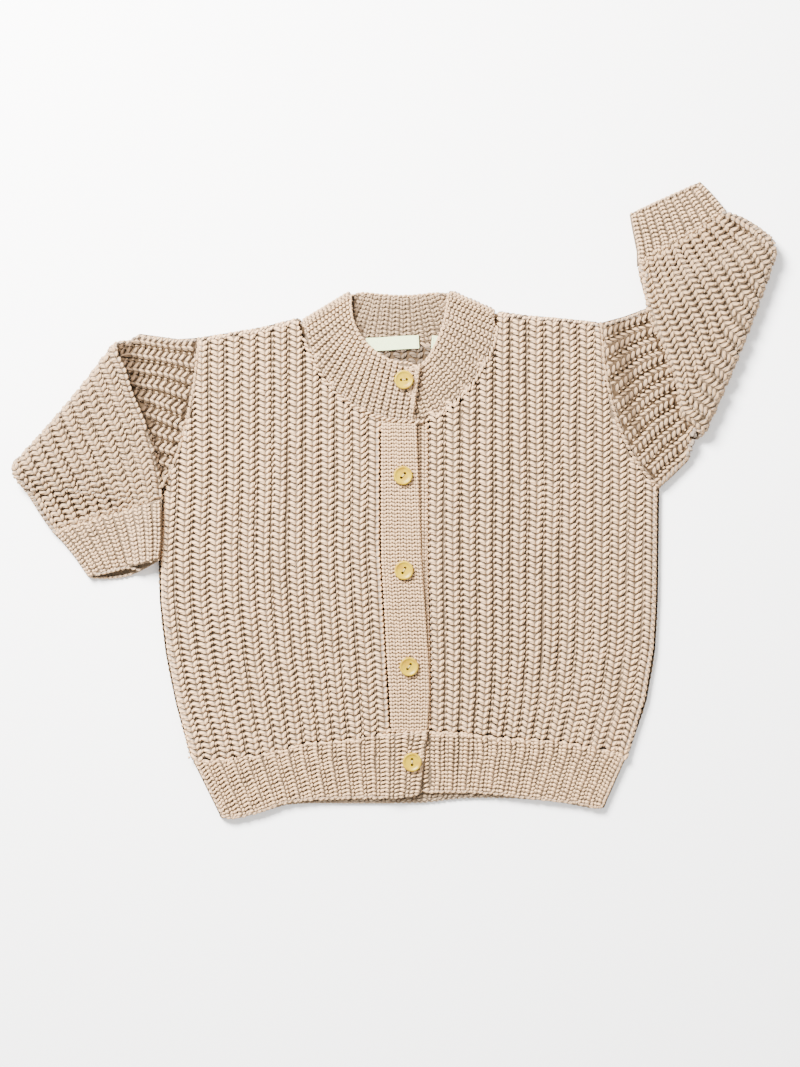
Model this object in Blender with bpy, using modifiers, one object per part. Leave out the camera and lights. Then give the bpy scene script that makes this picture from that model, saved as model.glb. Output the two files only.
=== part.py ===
"""A baby's chunky ribbed cardigan, buttoned up and laid flat on its back, with both sleeves folded over.

Lengths in this file are millimetres, and scale to metres when a mesh is made. +X is the wearer's left,
+Y is towards the neck and +Z is up from the surface the cardigan lies on. Each knitted piece is a closed
wall: its ribs stand up from the outer points, and the face that rests or hides is plain.
"""

import math
from collections import namedtuple

import bmesh
import bpy
import numpy as np
from mathutils import Vector

MM = 0.001

# ---- driving sizes ---------------------------------------------------------------------------------------

SEAM = 0.3  # clearance between two pieces at a seam, or where one lies on another
BODY_CENTRE = Vector((-0.1, -0.1, 0.0))  # middle of the laid-out outline, which becomes the origin

BACK_WALL = 3.6  # thickness of the back, which lies under everything
FRONT_FLOOR = BACK_WALL + SEAM  # underside of what lies on the back
BODY_PLAIN = 2.4  # front wall under the ribs
BODY_RIB = 1.6  # height of the chunky ribs
RIBS_A_FRONT = 14.2  # chunky ribs from the button band to the side seam
HEM_PLAIN = 2.1
HEM_RIB = 1.0

BAND_WALL = 2.2  # fine flat knit of the two button bands
UNDER_BAND_WALL = 2.0
OVERLAP_FLOOR = FRONT_FLOOR + UNDER_BAND_WALL + SEAM  # underside of what closes over the under band

COLLAR_FLOOR = 4.6  # underside of the collar's front, which leaves room for the labels
COLLAR_PLAIN = 2.3
COLLAR_RIB = 1.0
COLLAR_UNDER_TOP = FRONT_FLOOR + UNDER_BAND_WALL

SLEEVE_HALF = 3.9  # half the thickness of a flattened sleeve, at its rib tops
SLEEVE_RIB = 1.5
RIBS_A_SLEEVE_FACE = 11
FOLDED_PLAIN = 3.2  # half thickness of a sleeve on the side that hides in its fold
FOLD_RADIUS = (SLEEVE_HALF + FOLDED_PLAIN + SEAM + 0.1) / 2  # of a sleeve's middle layer round its fold

CUFF_WALL = 2.2
CUFF_LEAST_GAP = 0.35  # half the space left inside a flattened cuff
MOUTH_OPENS = 0.9  # how much wider that half is at its mouth
MOUTH_SHOWS = {"right": 5.0, "left": 0.6}  # how far a cuff's under layer shows past its upper one
CUFF_RIB = 0.9

BUTTON_DIAMETER = 12.7
BUTTON_THICKNESS = 2.6
BUTTON_HOLE_DIAMETER = 1.7
BUTTON_HOLE_SPACING = 3.6

LABEL_THICKNESS = 0.4

# ---- outlines, read from the side, the hem and the neck ---------------------------------------------------

SideRow = namedtuple("SideRow", "y right left")
SIDES = (  # the side seams, from the hem up to the underarm
    SideRow(-214, -115.4, 135.8),
    SideRow(-206, -119.0, 139.5),
    SideRow(-194, -124.2, 143.8),
    SideRow(-181, -131.2, 149.2),
    SideRow(-168, -138.0, 156.6),
    SideRow(-147, -143.6, 164.4),
    SideRow(-121, -149.8, 171.0),
    SideRow(-94, -154.4, 174.4),
    SideRow(-67, -157.2, 175.6),
    SideRow(-43, -158.0, 176.0),
    SideRow(-13, -156.8, 176.2),
    SideRow(8, -155.5, 176.6),
)

BandRow = namedtuple("BandRow", "y seam edge under")
BAND = (  # x of the top band's seam and free edge, and of the left front's seam under it
    BandRow(-199, -2.0, 16.8, 23.5),
    BandRow(-188, -2.4, 20.5, 23.7),
    BandRow(-178, -2.7, 23.3, 23.8),
    BandRow(-165, -2.8, 23.3, 23.8),
    BandRow(-154, -2.8, 21.6, 23.8),
    BandRow(-134, -3.6, 22.8, 24.0),
    BandRow(-107, -5.4, 22.2, 23.8),
    BandRow(-67, -7.5, 19.5, 22.8),
    BandRow(-40, -9.2, 17.6, 22.4),
    BandRow(0, -9.4, 16.2, 22.4),
    BandRow(52, -9.4, 14.2, 22.4),
)

EdgePoint = namedtuple("EdgePoint", "x y")
HEM_TOP = (  # where the chunky ribs turn into the hem's fine ribs
    EdgePoint(-138, -174.0),
    EdgePoint(-104, -171.0),
    EdgePoint(-77, -167.0),
    EdgePoint(-60, -162.5),
    EdgePoint(-37, -160.5),
    EdgePoint(-10, -156.5),
    EdgePoint(24, -154.0),
    EdgePoint(44, -155.0),
    EdgePoint(70, -158.0),
    EdgePoint(110, -161.5),
    EdgePoint(144, -167.0),
    EdgePoint(160, -171.0),
)
FRONT_HEM = (  # free edge of the fronts
    EdgePoint(-120, -212.3),
    EdgePoint(-109, -212.7),
    EdgePoint(-90, -208.3),
    EdgePoint(-70, -202.3),
    EdgePoint(-37, -199.6),
    EdgePoint(3, -198.9),
    EdgePoint(24, -195.5),
    EdgePoint(57, -196.0),
    EdgePoint(90, -199.6),
    EdgePoint(121, -203.1),
    EdgePoint(136, -206.1),
    EdgePoint(143, -204.3),
)
BACK_HEM = (  # free edge of the back, which shows below the fronts in the middle
    EdgePoint(-120, -212.3),
    EdgePoint(-109, -212.9),
    EdgePoint(-90, -208.7),
    EdgePoint(-70, -203.3),
    EdgePoint(-24, -202.7),
    EdgePoint(20, -202.3),
    EdgePoint(40, -199.9),
    EdgePoint(64, -199.1),
    EdgePoint(104, -201.1),
    EdgePoint(136, -206.5),
    EdgePoint(143, -204.7),
)

Armhole = namedtuple("Armhole", "shoulder middle underarm")  # three points of a quadratic curve
RIGHT_ARMHOLE = Armhole(Vector((-130.6, 108.5)), Vector((-136.0, 41.0)), Vector((-155.5, 8.0)))
LEFT_ARMHOLE = Armhole(Vector((137.4, 118.6)), Vector((141.0, 38.0)), Vector((176.6, 8.0)))

RIGHT_SHOULDER = (  # from the armhole to the collar
    EdgePoint(-130.6, 108.5),
    EdgePoint(-117, 110.6),
    EdgePoint(-90, 115.2),
    EdgePoint(-77, 118.4),
    EdgePoint(-64.5, 121.6),
)
LEFT_SHOULDER = (
    EdgePoint(69.5, 126.0),
    EdgePoint(80, 124.0),
    EdgePoint(104, 122.0),
    EdgePoint(118, 120.6),
    EdgePoint(137.4, 118.6),
)

# The collar is one strip: its free edge runs round the neck opening and its seam round the body. The rows
# stand about two ribs apart, from the end that closes on top, over the right shoulder, round the back,
# over the left shoulder and down to the end that tucks under. Lap is how far it is raised over the other
# end, or tucked under it.
CollarRow = namedtuple("CollarRow", "free_x free_y seam_x seam_y lap")
COLLAR_RIGHT = (
    CollarRow(17.4, 87.8, 12.7, 52.3, 1),
    CollarRow(8.7, 92.1, 2.0, 52.3, 1),
    CollarRow(-0.7, 93.1, -9.4, 54.9, 0.5),
    CollarRow(-9.4, 97.2, -20.8, 59.0, 0),
    CollarRow(-16.1, 102.5, -31.5, 65.0, 0),
    CollarRow(-21.4, 108.5, -40.9, 73.0, 0),
    CollarRow(-25.5, 115.2, -48.9, 83.1, 0),
    CollarRow(-27.8, 122.6, -55.6, 95.1, 0),
    CollarRow(-28.8, 130.0, -60.3, 107.2, 0),
    CollarRow(-28.8, 136.6, -61.4, 116.9, 0),
)
COLLAR_BACK = (
    CollarRow(-28.8, 136.6, -61.4, 116.9, 0),
    CollarRow(-24.8, 138.4, -48.9, 111.2, 0),
    CollarRow(-18.1, 138.8, -32.2, 105.9, 0),
    CollarRow(-8.7, 137.8, -14.1, 103.2, 0),
    CollarRow(3.4, 137.0, 3.4, 101.8, 0),
    CollarRow(15.4, 137.6, 20.8, 103.2, 0),
    CollarRow(25.6, 138.6, 38.9, 107.2, 0),
    CollarRow(31.2, 138.0, 54.3, 114.0, 0),
    CollarRow(35.3, 137.2, 66.6, 123.4, 0),
)
COLLAR_LEFT = (
    CollarRow(35.3, 137.2, 66.6, 123.4, 0),
    CollarRow(33.8, 128.6, 68.0, 113.9, 0),
    CollarRow(32.2, 119.9, 65.7, 102.5, 0),
    CollarRow(29.5, 110.6, 60.3, 91.1, 0),
    CollarRow(25.8, 102.5, 53.6, 79.7, 0),
    CollarRow(21.4, 95.1, 44.9, 69.7, 0.4),
    CollarRow(16.8, 90.8, 34.8, 60.6, 1),
    CollarRow(11.4, 88.8, 24.1, 53.9, 1),
    CollarRow(6.0, 88.4, 13.4, 51.8, 1),
)
COLLAR_RIBS = {"right": 22, "back": 16, "left": 18}

# A sleeve's sections, each a line across it from its top edge to its underarm edge. It runs from the
# armhole to the fold line, turns over, and lies back on itself down to the cuff seam and the cuff's mouth.
SleeveRow = namedtuple("SleeveRow", "top_x top_y under_x under_y")
RIGHT_SLEEVE_UPPER = (
    SleeveRow(-145.0, 107.6, -185.0, 10.0),
    SleeveRow(-170.0, 111.2, -215.0, 14.0),
)
RIGHT_SLEEVE_FOLD = SleeveRow(-182.2, 112.2, -254.8, 25.6)
RIGHT_SLEEVE_LOWER = (
    SleeveRow(-179.0, 88.0, -251.2, 11.5),
    SleeveRow(-173.5, 70.0, -246.0, 5.0),
    SleeveRow(-165.5, 52.0, -241.6, -2.5),
    SleeveRow(-159.5, 32.0, -237.6, -9.0),
    SleeveRow(-156.0, 16.0, -233.6, -15.0),
    SleeveRow(-154.6, 1.5, -229.6, -20.5),
)
RIGHT_CUFF = (
    SleeveRow(-154.3, -12.0, -223.0, -27.5),
    SleeveRow(-154.6, -27.0, -214.5, -38.0),
    SleeveRow(-156.0, -40.0, -205.0, -52.0),
)
LEFT_SLEEVE_UPPER = (
    SleeveRow(153.0, 122.6, 186.6, 16.6),
    SleeveRow(176.0, 131.0, 196.4, 26.2),
)
LEFT_SLEEVE_FOLD = SleeveRow(254.5, 162.2, 203.8, 35.4)
FOLD_BOW = {"right": -2.0, "left": 2.2}  # how far the middle of each fold stands out from its ends
FOLD_SLANT = 0.75  # share of a rib's way along the fold that it makes while turning over
LEFT_SLEEVE_LOWER = (
    SleeveRow(250.0, 174.6, 190.0, 56.0),
    SleeveRow(243.6, 181.5, 186.0, 78.0),
    SleeveRow(238.4, 185.6, 179.5, 98.0),
    SleeveRow(233.0, 188.6, 171.2, 118.5),
    SleeveRow(228.0, 190.6, 164.8, 139.0),
    SleeveRow(222.4, 192.2, 162.0, 155.0),
)
LEFT_CUFF = (
    SleeveRow(216.6, 199.4, 161.4, 166.0),
    SleeveRow(210.8, 206.2, 158.6, 180.0),
    SleeveRow(204.4, 212.6, 156.6, 190.8),
)

# Soft creases pressed into the fronts: a trough along a line, with its half width and depth.
Crease = namedtuple("Crease", "x0 y0 x1 y1 width depth")
CREASES = (
    Crease(-112, 96, -119, 34, 4.5, 0.9),
    Crease(-104, 100, -108, 60, 4.0, 0.6),
    Crease(107, -62, 109, -150, 4.0, 0.8),
    Crease(118, -70, 120, -150, 3.5, 0.7),
    Crease(140, 92, 152, 40, 4.0, 0.7),
    Crease(72, -104, 74, -150, 3.5, 0.5),
    Crease(-86, -90, -90, -152, 4.0, 0.5),
    Crease(30, 48, 27, -40, 3.5, 0.6),
)

ButtonPlace = namedtuple("ButtonPlace", "x y turn on_ribs")
BUTTONS = (  # turn is the angle of its two holes, in degrees
    ButtonPlace(6.0, 79.7, 4, True),
    ButtonPlace(5.4, 16.1, 52, False),
    ButtonPlace(6.0, -46.9, 62, False),
    ButtonPlace(9.4, -110.9, 56, False),
    ButtonPlace(11.4, -174.2, 92, True),
)

Label = namedtuple("Label", "x y width depth turn")
NECK_LABEL = Label(-1.5, 104.6, 35.0, 8.8, 3.0)
SIZE_LABEL = Label(29.0, 105.2, 9.0, 8.6, -4.0)

# ---- curves ----------------------------------------------------------------------------------------------


def smoothstep(low, high, value):
    """0 below low, 1 above high, and a soft rise between."""
    t = min(max((value - low) / (high - low), 0.0), 1.0)
    return t * t * (3 - 2 * t)


def mix(a, b, share):
    return a + (b - a) * share


def through(keys, values, at):
    """A smooth curve through values at rising keys, as a cubic between each two with the chords' slopes."""
    n = len(keys)
    i = min(max(int(np.searchsorted(keys, at)) - 1, 0), n - 2)
    step = keys[i + 1] - keys[i]
    t = min(max((at - keys[i]) / step, 0.0), 1.0)

    def slope(k):
        a, b = max(k - 1, 0), min(k + 1, n - 1)
        return (values[b] - values[a]) / (keys[b] - keys[a])

    rise, run = slope(i) * step, slope(i + 1) * step
    return (
        (2 * t**3 - 3 * t**2 + 1) * values[i]
        + (t**3 - 2 * t**2 + t) * rise
        + (3 * t**2 - 2 * t**3) * values[i + 1]
        + (t**3 - t**2) * run
    )


def column(table, key, value, at):
    """One column of a table, read at a value of another column."""
    return through([getattr(r, key) for r in table], [getattr(r, value) for r in table], at)


def row_at(table, t):
    """A row between the table's rows, with t from 0 at its first to 1 at its last."""
    places = list(range(len(table)))
    at = t * (len(table) - 1)
    return type(table[0])(*(through(places, [r[i] for r in table], at) for i in range(len(table[0]))))


def armhole_point(hole, t):
    """A point of the armhole seam, with t from 0 at the shoulder to 1 at the underarm."""
    return hole.shoulder * (1 - t) ** 2 + hole.middle * 2 * t * (1 - t) + hole.underarm * t**2


def armhole_y(hole, x):
    """Height of the armhole seam at x."""
    spots = [armhole_point(hole, i / 40) for i in range(41)]
    spots.sort(key=lambda p: p.x)
    return float(np.interp(x, [p.x for p in spots], [p.y for p in spots]))


def collar_seam_y(table, x):
    """Height of the collar's seam at x, along one part of the collar."""
    spots = [row_at(table, i / 60) for i in range(61)]
    spots.sort(key=lambda r: r.seam_x)
    return float(np.interp(x, [r.seam_x for r in spots], [r.seam_y for r in spots]))


def rounded(distance, radius, least):
    """Share of its full height that a wall has this far in from a rounded edge."""
    if distance >= radius:
        return 1.0
    rise = math.sqrt(max(1 - (1 - max(distance, 0) / radius) ** 2, 0))
    return least + (1 - least) * rise


def crease_depth(x, y):
    """How deep the soft creases are at a point of the fronts."""
    depth = 0.0
    for c in CREASES:
        start, along = Vector((c.x0, c.y0)), Vector((c.x1 - c.x0, c.y1 - c.y0))
        t = min(max((Vector((x, y)) - start).dot(along) / along.length_squared, 0), 1)
        off = (Vector((x, y)) - start - along * t).length
        depth += c.depth * math.exp(-((off / c.width) ** 2))
    return depth


# ---- ribs ------------------------------------------------------------------------------------------------

CHUNKY = ((0.0, 0.0), (0.3, 1.0), (0.7, 1.0))  # place across one rib, and height there as a share
FINE = ((0.0, 0.0), (0.12, 1.0), (0.52, 1.0), (0.64, 0.0), (0.82, 0.8))  # a wide rib and a narrow one
SINGLE = ((0.0, 0.0), (0.5, 1.0))


def rib_lines(count, profile):
    """Lines across so many ribs, as pairs of place, from 0 to 1, and rib height."""
    lines = [((n + at) / count, high) for n in range(math.ceil(count)) for at, high in profile]
    return [(u, high) for u, high in lines if u < 1 - 0.1 / count] + [(1.0, 0.0)]


def with_lines_at(lines, places):
    """The same lines with one more at each place, whose rib height lies between its neighbours'."""
    us, highs = [u for u, _ in lines], [h for _, h in lines]
    near = 0.002
    extra = [(p, float(np.interp(p, us, highs))) for p in places if min(abs(p - u) for u in us) > near]
    return sorted(lines + extra)


# ---- building --------------------------------------------------------------------------------------------


def clear_scene():
    for obj in list(bpy.data.objects):
        bpy.data.objects.remove(obj, do_unlink=True)


def new_collection(name):
    collection = bpy.data.collections.new(name)
    bpy.context.scene.collection.children.link(collection)
    return collection


def principled(name, colour, roughness):
    material = bpy.data.materials.new(name)
    material.use_nodes = True
    shader = material.node_tree.nodes["Principled BSDF"]
    shader.inputs["Base Color"].default_value = (*colour, 1.0)
    shader.inputs["Roughness"].default_value = roughness
    shader.inputs["Metallic"].default_value = 0.0
    return material


def add_object(collection, name, mesh, material):
    mesh.materials.clear()
    mesh.materials.append(material)
    obj = bpy.data.objects.new(name, mesh)
    collection.objects.link(obj)
    return obj


def mesh_of(name, points, faces):
    """A mesh of the points, in millimetres about the outline's middle, with its faces turned outwards."""
    work = bmesh.new()
    corners = [work.verts.new((p - BODY_CENTRE) * MM) for p in points]
    for face in faces:
        work.faces.new([corners[i] for i in face])
    bmesh.ops.recalc_face_normals(work, faces=work.faces)
    mesh = bpy.data.meshes.new(name)
    work.to_mesh(mesh)
    work.free()
    mesh.shade_smooth()
    mesh.set_sharp_from_angle(angle=math.radians(50))
    return mesh


def grid_faces(rows, columns, start, closed=False):
    """Quads of a grid of points that begins at index start; a closed one joins its last column to its first."""
    spans = columns if closed else columns - 1
    return [
        (
            start + r * columns + c,
            start + r * columns + (c + 1) % columns,
            start + (r + 1) * columns + (c + 1) % columns,
            start + (r + 1) * columns + c,
        )
        for r in range(rows - 1)
        for c in range(spans)
    ]


def wall(name, outer, inner):
    """A closed wall between two grids of points with the same rows and columns, joined round their rim."""
    rows, columns = len(outer), len(outer[0])
    count = rows * columns
    rim = list(range(columns))
    rim += [r * columns + columns - 1 for r in range(1, rows)]
    rim += [(rows - 1) * columns + c for c in range(columns - 2, -1, -1)]
    rim += [r * columns for r in range(rows - 2, 0, -1)]
    faces = grid_faces(rows, columns, 0) + grid_faces(rows, columns, count)
    faces += [(a, b, b + count, a + count) for a, b in zip(rim, rim[1:] + rim[:1])]
    return mesh_of(name, [p for row in outer + inner for p in row], faces)


def tube_wall(name, outer, inner):
    """A closed wall between two tubes of rings, joined at both mouths."""
    rows, columns = len(outer), len(outer[0])
    count = rows * columns
    faces = grid_faces(rows, columns, 0, closed=True) + grid_faces(rows, columns, count, closed=True)
    for row in (0, rows - 1):
        for c in range(columns):
            a, b = row * columns + c, row * columns + (c + 1) % columns
            faces.append((a, b, b + count, a + count))
    return mesh_of(name, [p for row in outer + inner for p in row], faces)


# ---- fronts, back and hems -------------------------------------------------------------------------------

TOP_ROWS = (0.0, 0.7, 2.8, 6.5)  # distance of a panel's last rows from its top edge
EDGE_RADIUS = 6.0  # rounding of the side and shoulder edges


def side_x(side, y):
    return column(SIDES, "y", side, y)


def panel_top(side, x, back=False):
    """Top edge of a body panel at x: armhole, shoulder, and then the collar's seam."""
    hole, shoulder = (RIGHT_ARMHOLE, RIGHT_SHOULDER) if side == "right" else (LEFT_ARMHOLE, LEFT_SHOULDER)
    outward = -1 if side == "right" else 1
    corner = shoulder[-1].x if side == "right" else shoulder[0].x
    if outward * x > outward * hole.shoulder.x:
        return armhole_y(hole, x + outward * SEAM), "armhole"
    if outward * x >= outward * corner:
        return column(shoulder, "x", "y", x), "shoulder"
    table = COLLAR_BACK if back else COLLAR_RIGHT if side == "right" else COLLAR_LEFT
    return min(collar_seam_y(table, x - outward * 4 * SEAM) - SEAM, column(shoulder, "x", "y", corner)), "collar"


def column_x(side, u, y):
    """x of a knit column of a front, with u from 0 at the button band to 1 at the side."""
    band = column(BAND, "y", "seam" if side == "right" else "under", min(y, BAND[-1].y))
    return mix(band, side_x(side, min(y, SIDES[-1].y)), u)


def edge_share(side, x, y, top, kind):
    """How far a front's wall is rounded down near the side seam or the shoulder, or drawn in at a seam."""
    outward = -1 if side == "right" else 1
    share = 1.0
    if y < SIDES[-1].y:
        share = rounded(outward * (side_x(side, y) - x), EDGE_RADIUS, 0.3)
    if kind == "shoulder":
        return min(share, rounded(top - y, EDGE_RADIUS, 0.3))
    return share * rounded(top - y, 2.0, 0.8)


def front(side):
    """One front, from the hem's rib up to the shoulder, between the side seam and the button band."""
    seam_shift = SEAM if side == "right" else -SEAM
    lines = rib_lines(RIBS_A_FRONT, CHUNKY)
    hole, shoulder = (RIGHT_ARMHOLE, RIGHT_SHOULDER) if side == "right" else (LEFT_ARMHOLE, LEFT_SHOULDER)
    corner = shoulder[-1].x if side == "right" else shoulder[0].x
    band, edge = column_x(side, 0, SIDES[-1].y), column_x(side, 1, SIDES[-1].y)
    lines = with_lines_at(lines, [(x - band) / (edge - band) for x in (hole.shoulder.x, corner)])
    outer, inner = [], []
    for u, high in lines:
        top_x = column_x(side, u, 60) - seam_shift * (1 - u)
        top, kind = panel_top(side, top_x)
        low = column(HEM_TOP, "x", "y", column_x(side, u, -168)) + SEAM
        ys = [low, low + 3.0]
        ys += [mix(low + 3.0, top - TOP_ROWS[-1], k / 5) for k in range(1, 5)]
        ys += [top - d for d in reversed(TOP_ROWS)]
        outer_line, inner_line = [], []
        for y in ys:
            x = column_x(side, u, y) - seam_shift * (1 - u)
            share = edge_share(side, x, y, top, kind) * rounded(y - low, 1.5, 0.85)
            height = (BODY_PLAIN + BODY_RIB * high - crease_depth(x, y)) * share
            outer_line.append(Vector((x, y, FRONT_FLOOR + max(height, 0.9))))
            inner_line.append(Vector((x, y, FRONT_FLOOR)))
        outer.append(outer_line)
        inner.append(inner_line)
    return wall(side + "_front", outer, inner)


def back():
    """The back, a plain wall with a flat underside that the whole garment rests on."""
    right, left = RIGHT_ARMHOLE, LEFT_ARMHOLE
    corners = (
        (right.shoulder.x, 3),
        (RIGHT_SHOULDER[-1].x, 3),
        (-50.0, 8),
        (54.0, 3),
        (LEFT_SHOULDER[0].x, 3),
        (left.shoulder.x, 0),
    )
    xs = [armhole_point(right, 1 - k / 8).x for k in range(8)]
    for (a, count), (b, _) in zip(corners, corners[1:]):
        xs += [mix(a, b, k / count) for k in range(count)]
    xs += [armhole_point(left, k / 8).x for k in range(9)]
    upper, under = [], []
    for top_x in xs:
        u = (top_x - xs[0]) / (xs[-1] - xs[0])
        side = "right" if top_x < 0 else "left"
        top, _ = panel_top(side, top_x, back=True)
        x_low = mix(side_x("right", -172), side_x("left", -172), u)
        low = column(HEM_TOP, "x", "y", x_low) + SEAM
        ys = [mix(low, top - 1.5, k / 6) for k in range(7)] + [top]
        upper_line, under_line = [], []
        for y in ys:
            level = min(y, SIDES[-1].y)
            x = mix(side_x("right", level), side_x("left", level), u)
            at_edge = y == ys[-1] or u in (0.0, 1.0)
            upper_line.append(Vector((x, y, BACK_WALL)))
            under_line.append(Vector((x, y, 1.2 if at_edge else 0.0)))
        upper.append(upper_line)
        under.append(under_line)
    return wall("back", upper, under)


def hem_point(side, u, v):
    """A point of a front's hem, with u from 0 at the band to 1 at the side and v from its seam to its edge."""
    y_top = column(HEM_TOP, "x", "y", column_x(side, u, -168)) - SEAM
    y_low = column(FRONT_HEM, "x", "y", column_x(side, u, -206))
    y = mix(y_top, y_low, v)
    return column_x(side, u, y), y


HEM_ROWS = (0.0, 0.06, 0.93, 1.0)
LAP_RISE = (-11.0, -3.0)  # x over which the right hem climbs onto the left one
UNDER_LAP_EDGE = 3.0  # x of the left hem's free edge, under the right one
UNDER_LAP_SHORT = 1.5  # how much shorter the left hem is there
UNDER_LAP_RISE = (24.4, 27.5)  # x over which the left hem thickens, once clear of the right one


def hem(side):
    """The fine rib at the foot of one front. Past the button band's seam u runs on from 0 to -1, and there
    the right hem closes over the left one."""
    outward = -1 if side == "right" else 1
    lap = rib_lines(2, FINE) if side == "right" else [(0.0, 0.0), (0.2, 0.0), (1.0, 0.0)]
    lines = [(-u, high) for u, high in reversed(lap[1:])] + rib_lines(RIBS_A_FRONT, FINE)
    outer, inner = [], []
    for u, high in lines:
        outer_line, inner_line = [], []
        for v in HEM_ROWS:
            x, y = hem_point(side, max(u, 0.0), v)
            if side == "right" and u < 0:
                x = mix(x, column(BAND, "y", "edge", y), -u)
                y = mix(column(HEM_TOP, "x", "y", x) - SEAM, column(FRONT_HEM, "x", "y", x), v)
            elif u < 0:
                x = mix(x, UNDER_LAP_EDGE, -u)
                y = mix(column(HEM_TOP, "x", "y", x) - SEAM, column(FRONT_HEM, "x", "y", x) + UNDER_LAP_SHORT, v)
            lifted = smoothstep(*LAP_RISE, x) if side == "right" else 0.0
            floor = mix(FRONT_FLOOR, OVERLAP_FLOOR, lifted)
            share = rounded(outward * (side_x(side, y) - x), EDGE_RADIUS, 0.3)
            share *= rounded((1 - v) * 40, 2.5, 0.55)
            height = (HEM_PLAIN + HEM_RIB * high) * share
            if side == "left":
                height = mix(UNDER_BAND_WALL, height, smoothstep(*UNDER_LAP_RISE, x))
            outer_line.append(Vector((x, y, floor + height)))
            inner_line.append(Vector((x, y, floor)))
        outer.append(outer_line)
        inner.append(inner_line)
    return wall(side + "_front_hem", outer, inner)


def back_hem():
    """The rib at the foot of the back: plain below, where it rests."""
    count = 30
    upper, under = [], []
    for i in range(count + 1):
        u = i / count
        x_top = mix(side_x("right", -174), side_x("left", -171), u)
        x_low = mix(side_x("right", -213), side_x("left", -206), u)
        y_top = column(HEM_TOP, "x", "y", x_top)
        y_low = column(BACK_HEM, "x", "y", x_low)
        upper_line, under_line = [], []
        for v in (0.0, 0.5, 0.96, 1.0):
            y = mix(y_top, y_low, v)
            x = mix(x_top, x_low, v)
            if i in (0, count):
                x = side_x("left" if i else "right", y)
            at_edge = v == 1.0 or i in (0, count)
            top = BACK_WALL - (1.1 if v == 1.0 else 0.0)
            upper_line.append(Vector((x, y, top)))
            under_line.append(Vector((x, y, 1.0 if at_edge else 0.0)))
        upper.append(upper_line)
        under.append(under_line)
    return wall("back_hem", upper, under)


# ---- button bands ----------------------------------------------------------------------------------------

BAND_LOW, BAND_HIGH = -154.0, 52.0


def band(over):
    """One button band. The top one is the right front's, and the other tucks under it."""
    floor, thick = (OVERLAP_FLOOR, BAND_WALL) if over else (FRONT_FLOOR, UNDER_BAND_WALL)
    margin = SEAM if over else 5.0
    low, high = BAND_LOW + SEAM, BAND_HIGH - 2 * SEAM
    ys = [low, low + 2.0] + [mix(low, high, k / 9) for k in range(1, 9)] + [high - 2.0, high]
    outer, inner = [], []
    for y in ys:
        left_x = column(BAND, "y", "seam", y) + margin
        right_x = column(BAND, "y", "edge" if over else "under", y) - (0.0 if over else SEAM)
        outer_line, inner_line = [], []
        for inset in (0.0, 1.2, -1.2, -0.001):
            x = left_x + inset if inset >= 0 else right_x + inset
            at_edge = inset in (0.0, -0.001)
            drop = 0.7 if at_edge or y in (low, high) else 0.0
            outer_line.append(Vector((x, y, floor + thick - drop)))
            inner_line.append(Vector((x, y, floor)))
        outer.append(outer_line)
        inner.append(inner_line)
    return wall("right_band" if over else "left_band", outer, inner)


# ---- collar ----------------------------------------------------------------------------------------------

COLLAR_ROWS = (0.0, 0.06, 0.45, 0.94, 1.0)  # across the collar, from its free edge to its seam


def collar():
    """The ribbed neckband, folded over at both shoulders so that its front lies on its back."""
    front_middle = COLLAR_FLOOR + (COLLAR_PLAIN + COLLAR_RIB) / 2
    back_middle = (COLLAR_PLAIN + COLLAR_RIB) / 2
    radius = (front_middle - back_middle) / 2
    fold_middle = (front_middle + back_middle) / 2
    outer, inner = [], []

    def station(row, high, part, angle=None):
        free, seam = Vector((row.free_x, row.free_y)), Vector((row.seam_x, row.seam_y))
        along = (seam - free).normalized()
        seam -= along * 2 * SEAM
        outward = Vector((along.y, -along.x)) if part != "left" else Vector((-along.y, along.x))
        outer_line, inner_line = [], []
        for v in COLLAR_ROWS:
            place = free.lerp(seam, v)
            x, y = place
            thin = 0.55 if v in (0.0, 1.0) else 1.0
            plain, rib = COLLAR_PLAIN, COLLAR_RIB * high
            if angle is not None:  # round the fold, its outer side is the collar's outside
                turn = math.radians(angle)
                away = Vector((outward.x * math.sin(turn), outward.y * math.sin(turn), math.cos(turn)))
                middle = Vector((x, y, fold_middle)) + away * radius
                half = (plain + COLLAR_RIB) / 2
                outer_line.append(middle + away * (half - COLLAR_RIB + rib) * thin)
                inner_line.append(middle - away * half * thin)
            elif part == "back":  # its inside faces up
                inner_line.append(Vector((x, y, (plain + rib) * (0.75 if thin < 1 else 1.0))))
                outer_line.append(Vector((x, y, 0.8 if thin < 1 else 0.0)))
            else:
                floor, top = COLLAR_FLOOR, COLLAR_FLOOR + plain + rib
                lap = min(max(row.lap, 0.0), 1.0)
                if part == "right":
                    floor = mix(floor, OVERLAP_FLOOR, lap)
                    top = mix(top, OVERLAP_FLOOR + 1.9 + 0.9 * high, lap)
                else:
                    floor = mix(floor, FRONT_FLOOR + SEAM, lap)
                    top = mix(top, COLLAR_UNDER_TOP, lap)
                if thin < 1:
                    top = mix(floor, top, 0.62)
                outer_line.append(Vector((x, y, top)))
                inner_line.append(Vector((x, y, floor)))
        outer.append(outer_line)
        inner.append(inner_line)

    for u, high in rib_lines(COLLAR_RIBS["right"], SINGLE)[:-1]:
        station(row_at(COLLAR_RIGHT, u), high, "right")
    for angle in (0, 45, 90, 135, 180):
        station(COLLAR_RIGHT[-1], 1.0, "right", angle)
    for u, high in rib_lines(COLLAR_RIBS["back"], SINGLE)[1:-1]:
        station(row_at(COLLAR_BACK, u), high, "back")
    for angle in (180, 135, 90, 45, 0):
        station(COLLAR_LEFT[0], 1.0, "left", angle)
    for u, high in rib_lines(COLLAR_RIBS["left"], SINGLE)[1:]:
        station(row_at(COLLAR_LEFT, u), high, "left")
    return wall("collar", outer, inner)


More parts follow.
